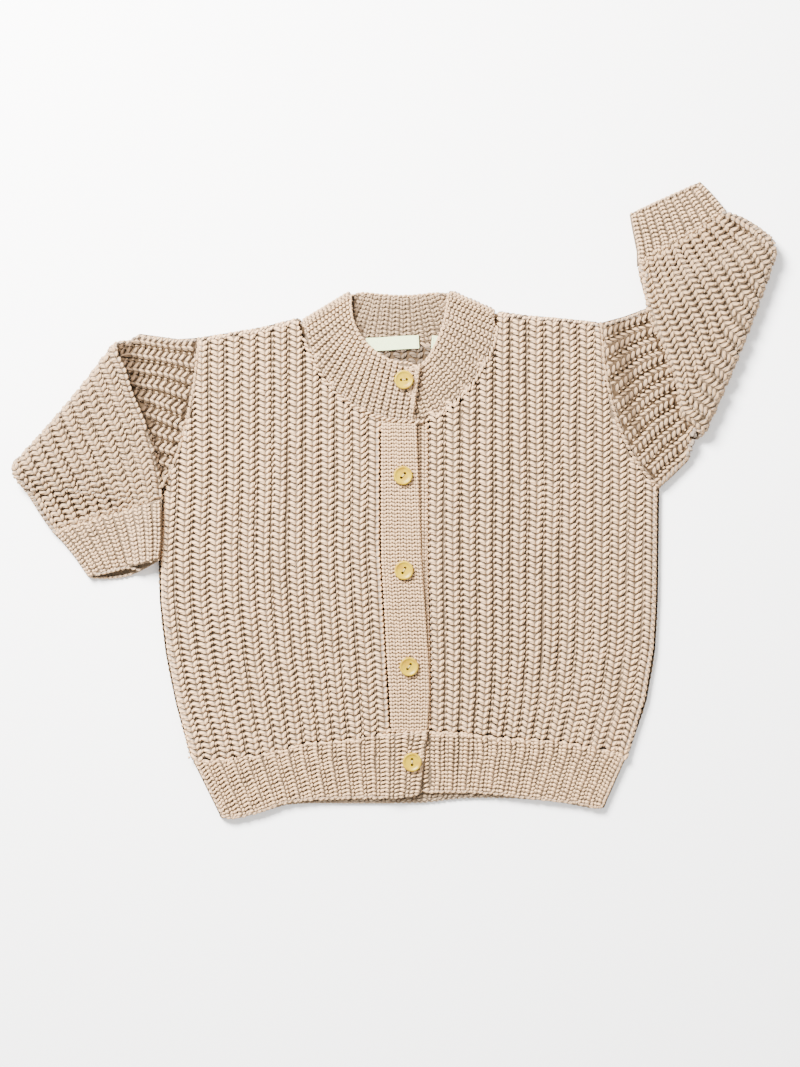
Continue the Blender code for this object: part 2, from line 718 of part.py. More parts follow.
# ---- sleeves and cuffs -----------------------------------------------------------------------------------

SLEEVE_EDGE = 6.0  # rounding along a flattened sleeve's two edges
DRAPE = 20.0  # how far out a sleeve takes to come down from what it lies on


def line_side(a, b, point):
    """Signed distance of a point from the line a to b, positive to the left of it."""
    along = (b - a).normalized()
    return along.x * (point.y - a.y) - along.y * (point.x - a.x)


def drape_level(side, x, y):
    """Middle height of a sleeve's folded-over part: up where the rest of the sleeve or the body's edge lies
    under it, and down on the surface beyond."""
    here = Vector((x, y))
    if side == "right":
        beyond = line_side(Vector((-253.8, 21.0)), Vector((-155.5, 8.0)), here)
        on_sleeve = 1 - smoothstep(0.0, DRAPE, -beyond)
        on_body = smoothstep(-182.0, -163.0, x)
        share = max(on_sleeve, on_body)
    else:
        beyond = line_side(Vector((150.0, 124.0)), Vector((247.8, 168.0)), here)
        share = 1 - smoothstep(0.0, DRAPE, beyond)
    return SLEEVE_HALF + 2 * FOLD_RADIUS * share


def sleeve(side):
    """One sleeve as a flattened tube whose hidden layers are one solid, turned over along its fold line."""
    hole = RIGHT_ARMHOLE if side == "right" else LEFT_ARMHOLE
    upper = RIGHT_SLEEVE_UPPER if side == "right" else LEFT_SLEEVE_UPPER
    fold = RIGHT_SLEEVE_FOLD if side == "right" else LEFT_SLEEVE_FOLD
    lower = RIGHT_SLEEVE_LOWER if side == "right" else LEFT_SLEEVE_LOWER
    fold_top, fold_under = Vector((fold.top_x, fold.top_y)), Vector((fold.under_x, fold.under_y))
    along = (fold_under - fold_top).normalized()
    outward = Vector((along.y, -along.x))
    if outward.x * (-1 if side == "right" else 1) < 0:
        outward = -outward
    inset = outward * (FOLD_RADIUS + SLEEVE_HALF)
    axis_top, axis_under = fold_top - inset, fold_under - inset

    first = lower[0]
    first_top, first_under = Vector((first.top_x, first.top_y)), Vector((first.under_x, first.under_y))

    def axis(w, turned):
        """A point of the fold's axis. A rib that is turned further over has moved on along it."""
        place = axis_top.lerp(axis_under, w) + outward * (FOLD_BOW[side] * 4 * w * (1 - w))
        ahead = (first_top.lerp(first_under, w) - place).dot(along)
        return place + along * (FOLD_SLANT * ahead * turned)

    lines = rib_lines(RIBS_A_SLEEVE_FACE, CHUNKY)
    lines = with_lines_at(lines, [0.012, 0.988])
    front_face, back_face = [], []

    def section(plan, up, level, front_ribs, back_ribs, width):
        """plan(w) and level(x, y) place the middle layer, and up is the way that the front face looks."""
        front_line, back_line = [], []
        for w, high in lines:
            place = plan(w)
            middle = Vector((place.x, place.y, level(place.x, place.y)))
            share = rounded(min(w, 1 - w) * width, SLEEVE_EDGE, 0.16)
            front_half = SLEEVE_HALF - SLEEVE_RIB * (1 - high) if front_ribs else FOLDED_PLAIN
            back_half = SLEEVE_HALF - SLEEVE_RIB * (1 - high) if back_ribs else SLEEVE_HALF
            front_line.append(middle + up * front_half * share)
            back_line.append(middle - up * back_half * share)
        front_face.append(front_line)
        back_face.append(back_line)

    z_up = Vector((0, 0, 1))

    def flat(row):
        a, b = Vector((row.top_x, row.top_y)), Vector((row.under_x, row.under_y))
        return lambda w: a.lerp(b, w), (b - a).length

    seam_out = Vector((-2.2 * SEAM if side == "right" else 2.2 * SEAM, 0))
    width = (hole.underarm - hole.shoulder).length
    section(lambda w: armhole_point(hole, w) + seam_out, z_up, lambda x, y: SLEEVE_HALF, True, False, width)
    for row in upper:
        plan, width = flat(row)
        section(plan, z_up, lambda x, y: SLEEVE_HALF, True, False, width)
    width = (axis_under - axis_top).length
    for angle in (0, 45, 90, 135, 180):
        turn = math.radians(angle)
        out = outward * (FOLD_RADIUS * math.sin(turn))
        up = Vector((-outward.x * math.sin(turn), -outward.y * math.sin(turn), math.cos(turn)))
        height = SLEEVE_HALF + FOLD_RADIUS * (1 - math.cos(turn))
        section(
            lambda w, out=out, turned=angle / 180: axis(w, turned) + out,
            up,
            lambda x, y, height=height: height,
            False,
            angle > 0,
            width,
        )
    for row in lower:
        plan, width = flat(row)
        section(plan, -z_up, lambda x, y: drape_level(side, x, y), False, True, width)
    return wall(side + "_sleeve", front_face, back_face)


def cuff(side):
    """A cuff: a flattened ribbed tube, open at its mouth, that carries on from the folded sleeve."""
    lower = RIGHT_SLEEVE_LOWER if side == "right" else LEFT_SLEEVE_LOWER
    table = (lower[-1],) + (RIGHT_CUFF if side == "right" else LEFT_CUFF)
    face = with_lines_at(rib_lines(RIBS_A_SLEEVE_FACE, CHUNKY), [0.02, 0.98])
    seam_row, next_row = table[0], table[1]
    step = Vector((next_row.top_x - seam_row.top_x, next_row.top_y - seam_row.top_y)).normalized() * 2 * SEAM
    outer, inner = [], []
    for k, row in enumerate(table):
        a, b = Vector((row.top_x, row.top_y)), Vector((row.under_x, row.under_y))
        if k == 0:
            a, b = a + step, b + step
        mouth = k / (len(table) - 1)
        width = (b - a).length
        across = (b - a).normalized()
        half = mix(SLEEVE_HALF, 3.4, mouth)
        ring_out, ring_in = [], []
        loop = [(w, high, 1) for w, high in face] + [(w, high, -1) for w, high in reversed(face)]
        for w, high, up in loop:
            place = a.lerp(b, w)
            level = drape_level(side, place.x, place.y) - SLEEVE_HALF + half
            share = rounded(min(w, 1 - w) * width, 5.0, 0.2)
            reach = half - CUFF_RIB * (1 - high) if up > 0 else half
            if k == len(table) - 1:
                reach *= 0.94
            pull = 0.0 if up > 0 else MOUTH_SHOWS[side] * mouth * math.sin(math.pi * w)
            ahead = Vector((across.y, -across.x)) * pull
            if (ahead.x, ahead.y) != (0, 0) and ahead.dot(step) < 0:
                ahead = -ahead
            x, y = place.x + ahead.x, place.y + ahead.y
            ring_out.append(Vector((x, y, level + up * reach * share)))
            in_w = min(max(w, CUFF_WALL / width), 1 - CUFF_WALL / width)
            in_place = a.lerp(b, in_w)
            in_share = rounded(min(w, 1 - w) * width, 5.0, 0.1)
            in_half = max(half - CUFF_RIB - CUFF_WALL, CUFF_LEAST_GAP) + MOUTH_OPENS * mouth
            in_z = level + up * in_half * in_share
            ring_in.append(Vector((in_place.x + ahead.x, in_place.y + ahead.y, in_z)))
        outer.append(ring_out)
        inner.append(ring_in)
    return tube_wall(side + "_cuff", outer, inner)


# ---- buttons and labels ----------------------------------------------------------------------------------


def button_mesh(collection, material):
    """A wooden button: a turned disc with a soft rim and a dished middle, drilled with two holes."""
    radius, thick = BUTTON_DIAMETER / 2, BUTTON_THICKNESS
    profile = (  # radius and height, down the outer side
        (0.0, thick - 0.6),
        (radius * 0.5, thick - 0.5),
        (radius * 0.76, thick),
        (radius, thick * 0.55),
        (radius * 0.86, 0.0),
        (0.0, 0.0),
    )
    line = bmesh.new()
    spots = [line.verts.new((r * MM, 0, z * MM)) for r, z in profile]
    for a, b in zip(spots, spots[1:]):
        line.edges.new((a, b))
    mesh = bpy.data.meshes.new("button_profile")
    line.to_mesh(mesh)
    line.free()
    turned = add_object(collection, "button_turned", mesh, material)
    screw = turned.modifiers.new("Turn", "SCREW")
    screw.steps = screw.render_steps = 16
    screw.use_merge_vertices = True
    screw.merge_threshold = 0.00005
    cutters = []
    for sign in (-1, 1):
        hole = bmesh.new()
        bmesh.ops.create_cone(
            hole,
            cap_ends=True,
            segments=6,
            radius1=BUTTON_HOLE_DIAMETER / 2 * MM,
            radius2=BUTTON_HOLE_DIAMETER / 2 * MM,
            depth=4 * thick * MM,
        )
        bmesh.ops.translate(hole, verts=hole.verts, vec=(sign * BUTTON_HOLE_SPACING / 2 * MM, 0, 0))
        cutter_mesh = bpy.data.meshes.new("button_hole")
        hole.to_mesh(cutter_mesh)
        hole.free()
        cutters.append(add_object(collection, "button_hole", cutter_mesh, material))
        drill = turned.modifiers.new("Drill", "BOOLEAN")
        drill.object = cutters[-1]
    bpy.context.view_layer.update()
    evaluated = turned.evaluated_get(bpy.context.evaluated_depsgraph_get())
    made = bpy.data.meshes.new_from_object(evaluated)
    for obj in (turned, *cutters):
        bpy.data.objects.remove(obj)
    made.name = "button"
    made.shade_smooth()
    made.set_sharp_from_angle(angle=math.radians(40))
    return made


def buttons(collection, material):
    """Five buttons down the top band, each resting on the knit."""
    mesh = button_mesh(collection, material)
    for number, place in enumerate(BUTTONS, start=1):
        button = bpy.data.objects.new(f"button_{number}", mesh)
        ribs_top = OVERLAP_FLOOR + (HEM_PLAIN + HEM_RIB)
        rest = ribs_top if place.on_ribs else OVERLAP_FLOOR + BAND_WALL
        button.location = (Vector((place.x, place.y, rest + SEAM)) - BODY_CENTRE) * MM
        button.rotation_euler.z = math.radians(place.turn)
        collection.objects.link(button)


def label(name, spec):
    """A small woven label laid flat on the inside of the neck."""
    turn = math.radians(spec.turn)
    rows = []
    for z in (FRONT_FLOOR + LABEL_THICKNESS, FRONT_FLOOR):
        grid = []
        for i in range(5):
            line = []
            for j in range(3):
                x, y = (i / 4 - 0.5) * spec.width, (j / 2 - 0.5) * spec.depth
                line.append(
                    Vector(
                        (
                            spec.x + x * math.cos(turn) - y * math.sin(turn),
                            spec.y + x * math.sin(turn) + y * math.cos(turn),
                            z,
                        )
                    )
                )
            grid.append(line)
        rows.append(grid)
    return wall(name, rows[0], rows[1])


# ---- the cardigan ----------------------------------------------------------------------------------------


def main():
    clear_scene()
    cardigan = new_collection("baby_cardigan")
    chunky = principled("chunky_knit", (0.60, 0.49, 0.40), 0.85)
    fine = principled("fine_rib", (0.64, 0.54, 0.45), 0.85)
    wood = principled("light_wood", (0.66, 0.52, 0.24), 0.45)
    cotton = principled("label_cotton", (0.82, 0.84, 0.78), 0.8)

    add_object(cardigan, "back", back(), chunky)
    add_object(cardigan, "back_hem", back_hem(), fine)
    for side in ("right", "left"):
        add_object(cardigan, side + "_front", front(side), chunky)
        add_object(cardigan, side + "_front_hem", hem(side), fine)
        add_object(cardigan, side + "_sleeve", sleeve(side), chunky)
        add_object(cardigan, side + "_cuff", cuff(side), fine)
        add_object(cardigan, side + "_band", band(side == "right"), fine)
    add_object(cardigan, "collar", collar(), fine)
    add_object(cardigan, "neck_label", label("neck_label", NECK_LABEL), cotton)
    add_object(cardigan, "size_label", label("size_label", SIZE_LABEL), cotton)
    buttons(cardigan, wood)


main()
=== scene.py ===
import math

import bmesh
import bpy
import numpy as np
from mathutils import Matrix, Vector
from mathutils.bvhtree import BVHTree


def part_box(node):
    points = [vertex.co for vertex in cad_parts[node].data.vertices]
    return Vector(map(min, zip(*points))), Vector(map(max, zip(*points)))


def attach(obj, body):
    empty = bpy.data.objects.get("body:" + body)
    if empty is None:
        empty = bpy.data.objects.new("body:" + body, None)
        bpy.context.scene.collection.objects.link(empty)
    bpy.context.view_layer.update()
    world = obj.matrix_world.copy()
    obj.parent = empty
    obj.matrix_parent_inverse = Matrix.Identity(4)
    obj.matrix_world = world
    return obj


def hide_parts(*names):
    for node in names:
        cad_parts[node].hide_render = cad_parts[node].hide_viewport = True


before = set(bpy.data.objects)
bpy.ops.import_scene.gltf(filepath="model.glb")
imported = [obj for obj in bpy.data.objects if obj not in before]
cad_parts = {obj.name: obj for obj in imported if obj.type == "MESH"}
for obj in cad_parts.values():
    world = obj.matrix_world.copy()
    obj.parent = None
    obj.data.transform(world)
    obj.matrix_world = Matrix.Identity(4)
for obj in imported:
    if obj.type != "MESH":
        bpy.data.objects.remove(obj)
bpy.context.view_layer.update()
mm = 0.001  # tables below are in millimetres
rng = np.random.default_rng(27)  # every stitch's small irregularity comes from here
skyHigh, farOut, nearOut = 0.1, 0.4, 0.1  # where rays start: above, beside the garment and beside its bands


# A value in a shader, so that sums can be written as sums

class Val:
    def __init__(self, graph, socket):
        self.graph, self.socket = graph, socket

    def math(self, operation, *terms):
        return self.graph.add("ShaderNodeMath", {"operation": operation}, dict(enumerate(terms)))

    def __add__(self, other): return self.math("ADD", self, other)
    def __radd__(self, other): return self.math("ADD", other, self)
    def __sub__(self, other): return self.math("SUBTRACT", self, other)
    def __rsub__(self, other): return self.math("SUBTRACT", other, self)
    def __mul__(self, other): return self.math("MULTIPLY", self, other)
    def __rmul__(self, other): return self.math("MULTIPLY", other, self)
    def __pow__(self, other): return self.math("POWER", self, other)
    def sin(self): return self.math("SINE", self)
    def floor(self): return self.math("FLOOR", self)
    def fract(self): return self.math("FRACT", self)
    def abs(self): return self.math("ABSOLUTE", self)
    def above(self, low, high):  # 0 to 1 as the value goes from low to high
        return self.graph.add("ShaderNodeMapRange", {"interpolation_type": "SMOOTHSTEP"},
                              {"Value": self, "From Min": low, "From Max": high})


class Graph:
    def __init__(self, name):
        self.material = bpy.data.materials.new(name)
        self.material.use_nodes = True
        self.nodes = self.material.node_tree.nodes
        self.links = self.material.node_tree.links
        self.nodes.clear()
        self.shader = self.nodes.new("ShaderNodeBsdfPrincipled")
        output = self.nodes.new("ShaderNodeOutputMaterial")
        self.links.new(self.shader.outputs[0], output.inputs[0])

    def add(self, kind, settings=None, inputs=None, output=0):
        node = self.nodes.new(kind)
        for name, value in (settings or {}).items():
            setattr(node, name, value)
        for name, value in (inputs or {}).items():
            if isinstance(value, Val):
                self.links.new(value.socket, node.inputs[name])
            else:
                node.inputs[name].default_value = value
        return Val(self, node.outputs[output])

    def mixColour(self, share, a, b):  # sockets 6 and 7 are the two colours
        a, b = [(*c, 1) if isinstance(c, tuple) else c for c in (a, b)]
        return self.add("ShaderNodeMix", {"data_type": "RGBA"}, {0: share, 6: a, 7: b}, output=2)

    def noise(self, vector, scale, detail=2.0):
        return self.add("ShaderNodeTexNoise", None, {"Vector": vector, "Scale": scale, "Detail": detail})

    def place(self):  # in the object's own metres
        return self.add("ShaderNodeTexCoord", output=3)

    def split(self, vector):
        node = self.add("ShaderNodeSeparateXYZ", None, {0: vector}).socket.node
        return [Val(self, socket) for socket in node.outputs]

    def bump(self, height, strength, distance, normal=None):
        inputs = {"Height": height, "Strength": strength, "Distance": distance}
        if normal:
            inputs["Normal"] = normal
        return self.add("ShaderNodeBump", None, inputs)

    def finish(self, **sockets):
        for name, value in sockets.items():
            socket = self.shader.inputs[name.replace("_", " ")]
            if isinstance(value, Val):
                self.links.new(value.socket, socket)
            else:
                socket.default_value = (*value, 1) if isinstance(value, tuple) else value
        return self.material


# Yarn and other finishes

yarn = {
    "plies": 3,
    "turns": 1.7,  # of the plies along one stitch
    "twistDepth": 0.00024,
    "fineTwist": 0.7,  # share of that depth on the finer yarns
    "fuzzDepth": 0.00012,
    "roughness": 0.8,
    "sheen": 0.07,
    "light": (0.712, 0.441, 0.223),
    "fineLight": 0.98,  # share of the light tone on the hems and bands, a slightly darker copy that is painted shade
    "inner": (0.33, 0.222, 0.128),  # a darker copy of the yarn, painted shade for the back, which lies in shadow
    "neck": (0.135, 0.088, 0.050),  # a darker copy of the same yarn, painted shade deep in the neck
    # sleeve: a darker copy of the light tone, painted shade on the sleeves
    "sleeve": (0.455, 0.283, 0.141),
    "rib": (0.610, 0.384, 0.200),  # a darker copy of the light tone, painted shade on the collar and the cuffs
    "collarBack": (0.40, 0.26, 0.142),  # a darker copy of the yarn, painted shade on the collar's inside, behind the neck
    "shade": (0.222, 0.171, 0.128),
    "hidden": (0.062, 0.033, 0.013),  # painted shadow right under a fold
    "tuckSteps": 7,  # steps of painted shadow, from an open stitch to one right under a fold
}


def shareOf(tone, share):
    return tuple(c * share for c in tone)


def yarnMaterial(name, light, flankShare, twist=1.0, shade=yarn["shade"]):
    # light is the tone on top of a stitch, and shade the painted shade on its flanks and ends, where it goes
    # in under the next
    g = Graph(name)
    uv = g.add("ShaderNodeUVMap", {"uv_map": "yarn"})
    lobe, girth, _ = g.split(uv)
    along, around = lobe.fract(), (girth * 0.999).fract()
    tuck = (girth * 0.999).floor() * (1 / yarn["tuckSteps"])  # how deep in a fold's shadow the length lies
    # the painted shadow deepens quickly towards a fold
    hidden = 1 - (1 - tuck) ** 1.7
    place = g.place()
    tone = g.add("ShaderNodeTexWhiteNoise", {"noise_dimensions": "1D"}, {"W": lobe.floor()})
    fuzz = g.noise(place, 2600.0, 3.0)
    patchy = g.noise(place, 30.0, 2.0)
    # painted shade at the ends, where a stitch goes in under its neighbours
    tipShade = (along * 2 - 1).abs() ** 3
    flankShading = (around * 2 - 1).abs().above(0.05, 0.54)  # painted shade on the sides that face the next stitch
    strand = ((along * yarn["turns"] + around * yarn["plies"]) * (2 * math.pi)).sin()
    colour = g.mixColour(tone * 0.35 + patchy * 0.45 + fuzz * 0.3, light, shareOf(light, 0.78))
    # painted shade in the grooves between the plies
    colour = g.mixColour(strand.above(-0.1, -1.0) * 0.36, colour, shade)
    colour = g.mixColour((tipShade * 0.5 + flankShading * flankShare).above(0.0, 1.0), colour, shade)
    colour = g.mixColour(hidden, colour, yarn["hidden"])
    normal = g.bump(strand, 0.9, yarn["twistDepth"] * twist)
    normal = g.bump(fuzz, 0.7, yarn["fuzzDepth"], normal)
    return g.finish(Base_Color=colour, Roughness=yarn["roughness"] + fuzz * 0.12, Normal=normal,
                    Sheen_Weight=yarn["sheen"], Sheen_Roughness=0.5, Specular_IOR_Level=0.25)


# a dark sheet under the stitches, whose tones are mostly painted shade
wallTone = {
    "rests": (0.52, 0.34, 0.19),  # the face that lies on the surface
    # painted shade on the wall's sides
    "side": (0.19, 0.135, 0.088),
    "between": (0.110, 0.076, 0.047),  # painted shade on top, which shows between the stitches
    "low": (0.055, 0.034, 0.018),  # a darker painted shade where more cloth lies above
    "lowEnds": (0.0078, 0.0096),  # heights over which low gives way to between
}


def underMaterial(name, rowPitch, low=False):
    # painted shade between the stitches on top and at the sides, and plain knit on the face that rests
    g = Graph(name)
    place = g.place()
    x, y, height = g.split(place)
    rows = (y * (2 * math.pi / rowPitch)).sin()
    columns = (x * (2 * math.pi / (rowPitch * 1.2))).sin()
    fuzz = g.noise(place, 1500.0, 3.0)
    facing = g.split(g.add("ShaderNodeNewGeometry", output=3))[2]  # how far the flat face looks up
    top = wallTone["between"]
    knit = g.mixColour(fuzz * 0.7, wallTone["rests"], shareOf(wallTone["rests"], 0.7))
    # painted shade in the hollows of the knit on the face that rests
    knit = g.mixColour((rows * columns).above(0.0, -1.0) * 0.5, knit, top)
    colour = g.mixColour(facing.above(-0.8, -0.3), knit, wallTone["side"])
    # a darker painted shade low down, where more cloth lies above
    if low:
        top = g.mixColour(height.above(*wallTone["lowEnds"]), wallTone["low"], top)
    colour = g.mixColour(facing.above(0.3, 0.8), colour, top)
    normal = g.bump(rows * columns, 0.8, 0.0004)
    normal = g.bump(fuzz, 0.6, 0.0002, normal)
    return g.finish(Base_Color=colour, Roughness=0.95, Normal=normal, Specular_IOR_Level=0.1)


fine = yarn["fineTwist"]
chunkyYarn = yarnMaterial("chunky_yarn", yarn["light"], 0.96)
# these are darker copies of the light tone, painted shade on those parts
fineYarn = yarnMaterial("fine_yarn", shareOf(yarn["light"], yarn["fineLight"]), 0.66, fine)
shadedSleeveYarn = yarnMaterial("sleeve_yarn", yarn["sleeve"], 0.94)
shadedRibYarn = yarnMaterial("rib_yarn", yarn["rib"], 0.80, fine)
# darker copies of the same yarn, painted shade where it lies in shadow
shadedCollarBackYarn = yarnMaterial("collar_back_yarn", yarn["collarBack"], 0.62, fine)
shadedInnerYarn = yarnMaterial("inner_yarn", yarn["inner"], 0.55)
shadedNeckYarn = yarnMaterial("neck_yarn", yarn["neck"], 0.8, shade=shareOf(yarn["shade"], 0.5))
chunkyUnder = underMaterial("chunky_under", 0.004)
fineUnder = underMaterial("fine_under", 0.0027)
deepShadedUnder = underMaterial("low_under", 0.004, low=True)


# Meshes

def meshFrom(work, name):
    mesh = bpy.data.meshes.new(name)
    work.to_mesh(mesh)
    work.free()
    return mesh


def closedMesh(work, name):
    bmesh.ops.recalc_face_normals(work, faces=work.faces)
    return meshFrom(work, name)


def newObject(name, mesh, material):
    mesh.materials.clear()
    mesh.materials.append(material)
    piece = bpy.data.objects.new(name, mesh)
    bpy.context.scene.collection.objects.link(piece)
    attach(piece, "root")
    return piece


def treeOf(mesh):
    return BVHTree.FromPolygons([v.co for v in mesh.vertices], [p.vertices[:] for p in mesh.polygons])


trees = {name: treeOf(node.data) for name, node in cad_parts.items()}
layerLevels = (0.0045, 0.0060, 0.0075)  # heights of what lies on the back


def below(tree, x, y):  # the highest face under a place in plan
    return tree.ray_cast(Vector((x, y, skyHigh)), Vector((0, 0, -1)))[0]


def edgeHit(node, x, y, direction, levels=layerLevels):
    # the first edge of a node that is met from a place in plan, at any of the levels
    hits = [trees[node].ray_cast(Vector((x, y, z)), Vector((*direction, 0))) for z in levels]
    near = [(distance, spot) for spot, _, _, distance in hits if spot]
    return min(near, key=lambda n: n[0])[1] if near else None


def outerX(node, y, outward, levels=layerLevels, away=farOut):  # x of the node's edge that looks outward
    return edgeHit(node, outward * away, y, (-outward, 0), levels).x


def lowerY(node, x, levels=layerLevels):  # y of the node's lower edge, where it has one
    hit = edgeHit(node, x, -farOut, (0, 1), levels)
    return hit.y if hit else None


def fromTable(x, y):  # a table's millimetres to a place in plan
    return Vector(((x + 0.1) * mm, (y + 0.1) * mm))


def mix(a, b, share):
    return a + (b - a) * share


def unit(vectors):
    return vectors / np.maximum(np.linalg.norm(vectors, axis=-1, keepdims=True), 1e-12)


def lengthsOf(points):  # how far along a line each of its points lies
    return np.concatenate([[0], np.cumsum(np.linalg.norm(np.diff(points, axis=0), axis=1))])


def evenly(plan, step=0.002):  # places in plan, a step apart along a line
    plan = np.array(plan, float)
    length = lengthsOf(plan)
    stops = np.linspace(0, length[-1], max(int(length[-1] / step), 2))
    return np.interp(stops, length, plan[:, 0]), np.interp(stops, length, plan[:, 1])


def bend(spots, t):  # a curve through a start, a middle and an end
    start, middle, end = spots[:, 0:1], spots[:, 1:2], spots[:, 2:3]
    return start * (1 - t) ** 2 + (4 * middle - start - end) / 2 * (2 * t * (1 - t)) + end * t**2


def through(keys, values, at):
    # a smooth curve through values at rising keys
    n = len(keys)
    i = min(max(int(np.searchsorted(keys, at)) - 1, 0), n - 2)
    step = keys[i + 1] - keys[i]
    t = min(max((at - keys[i]) / step, 0.0), 1.0)

    def slope(k):
        a, b = max(k - 1, 0), min(k + 1, n - 1)
        return (values[b] - values[a]) / (keys[b] - keys[a])

    return ((2 * t**3 - 3 * t**2 + 1) * values[i] + (t**3 - 2 * t**2 + t) * slope(i) * step
            + (3 * t**2 - 2 * t**3) * values[i + 1] + (t**3 - t**2) * slope(i + 1) * step)


def rowAt(table, t):
    # a row between the table's rows, with t from 0 to 1
    keys = list(range(len(table)))
    return [through(keys, [row[i] for row in table], t * (len(table) - 1)) for i in range(len(table[0]))]


class Patch:  # the knit's own grid laid on a solid: c counts columns, r counts rows
    foldReach = 0.003  # how near the surface a place on a fold has to be
    edgeHeight, ledgeHeight = 0.012, 0.004  # where the nearest edge is looked for, the second above a ledge
    softSpill = 0.002  # a longer spill lies flat past the edge, and a shorter one rolls down with it

    def __init__(self, node, place, columns, rows, perColumn=8, perRow=1.5, ceiling=1.0,
                 spill=lambda x, y, c, r: 0.0015, ledge=lambda c, r: 0.0):
        (self.c0, self.c1), (self.r0, self.r1) = columns, rows
        nc = max(int(round((self.c1 - self.c0) * perColumn)), 2)
        nr = max(int(round((self.r1 - self.r0) * perRow)), 2)
        self.points = np.zeros((nr + 1, nc + 1, 3))
        self.inside = np.zeros((nr + 1, nc + 1))
        facingUp = np.zeros((nr + 1, nc + 1), bool)
        tree = trees[node]
        for i in range(nr + 1):
            for j in range(nc + 1):
                c, r = mix(self.c0, self.c1, j / nc), mix(self.r0, self.r1, i / nr)
                spot = place(c, r)
                if len(spot) == 3 and spot[2] is not None:  # a place on a fold, already near the surface
                    near = tree.find_nearest(Vector(spot))[0]
                    self.points[i, j], self.inside[i, j] = near, (near - Vector(spot)).length < self.foldReach
                    continue
                x, y = spot[:2]
                hit = below(tree, x, y)
                if hit and hit.z > ceiling:  # under a fold the knit goes on a little way
                    hit = self.beside(tree, x, y, ceiling) or hit
                least = ledge(c, r)
                if hit and hit.z > least:
                    self.inside[i, j] = hit.z < ceiling
                    self.points[i, j] = hit
                    facingUp[i, j] = True
                else:  # past the edge, where the knit rolls down
                    height = least + self.ledgeHeight if least else self.edgeHeight
                    near = tree.find_nearest(Vector((x, y, height)))[0]
                    past, reach = math.hypot(near.x - x, near.y - y), spill(x, y, c, r)
                    self.inside[i, j] = past < reach and near.z < ceiling
                    if reach > self.softSpill:
                        self.points[i, j] = (x, y, near.z - min(past * 0.5, 0.003 if least else 0.001))
                    else:
                        drop = min(past * 0.9, 0.003)
                        self.points[i, j] = (mix(near.x, x, 0.3), mix(near.y, y, 0.3), near.z - drop)
        z = self.points[:, :, 2]
        padded = np.pad(z, ((0, 0), (1, 1)), mode="edge")
        self.points[:, :, 2] = (padded[:, :-2] + 2 * z + padded[:, 2:]) / 4
        across = np.gradient(self.points, axis=1) * nc / (self.c1 - self.c0)
        along = np.gradient(self.points, axis=0) * nr / (self.r1 - self.r0)
        normals = np.cross(across, along)
        self.mirrored = np.median(normals[facingUp][:, 2]) < 0  # columns run to the left when rows run up
        self.normals = unit(-normals if self.mirrored else normals)
        self.across, self.along = across, along

    def beside(self, tree, x, y, ceiling, reach=0.0022):
        # the face that goes in under a fold, at its height there
        for dx, dy in ((1, 0), (-1, 0), (0, 1), (0, -1)):
            spot = below(tree, x + dx * reach, y + dy * reach)
            if spot and spot.z < ceiling:
                return Vector((x, y, spot.z))

    def at(self, grid, c, r):  # one of the grids, read between its points
        rows, columns = grid.shape[:2]
        x = np.clip((c - self.c0) / (self.c1 - self.c0) * (columns - 1), 0, columns - 1.000001)
        y = np.clip((r - self.r0) / (self.r1 - self.r0) * (rows - 1), 0, rows - 1.000001)
        i, j = y.astype(int), x.astype(int)
        fy, fx = y - i, x - j
        if grid.ndim == 3:
            fy, fx = fy[..., None], fx[..., None]
        return ((grid[i, j] * (1 - fx) + grid[i, j + 1] * fx) * (1 - fy)
                + (grid[i + 1, j] * (1 - fx) + grid[i + 1, j + 1] * fx) * fy)

    def stitchPlaces(self, pitch, samples=240):  # the middle of every stitch, a pitch apart along each column
        cs, rs = [], []
        for c in np.arange(math.floor(self.c0), math.floor(self.c1)) + 0.5:
            r = np.linspace(self.r0, self.r1, samples)
            length = lengthsOf(self.at(self.points, np.full(samples, c), r))
            stops = np.arange(0.5, length[-1] / pitch - 0.1) * pitch
            wander = np.interp(stops, np.linspace(0, length[-1], 7), rng.normal(0, 0.10, 7)) * pitch
            rs.append(np.interp(stops + wander, length, r))
            sway = np.interp(stops, np.linspace(0, length[-1], 8), rng.normal(0, 0.022, 8))
            cs.append(c + sway)
        return np.concatenate(cs), np.concatenate(rs)


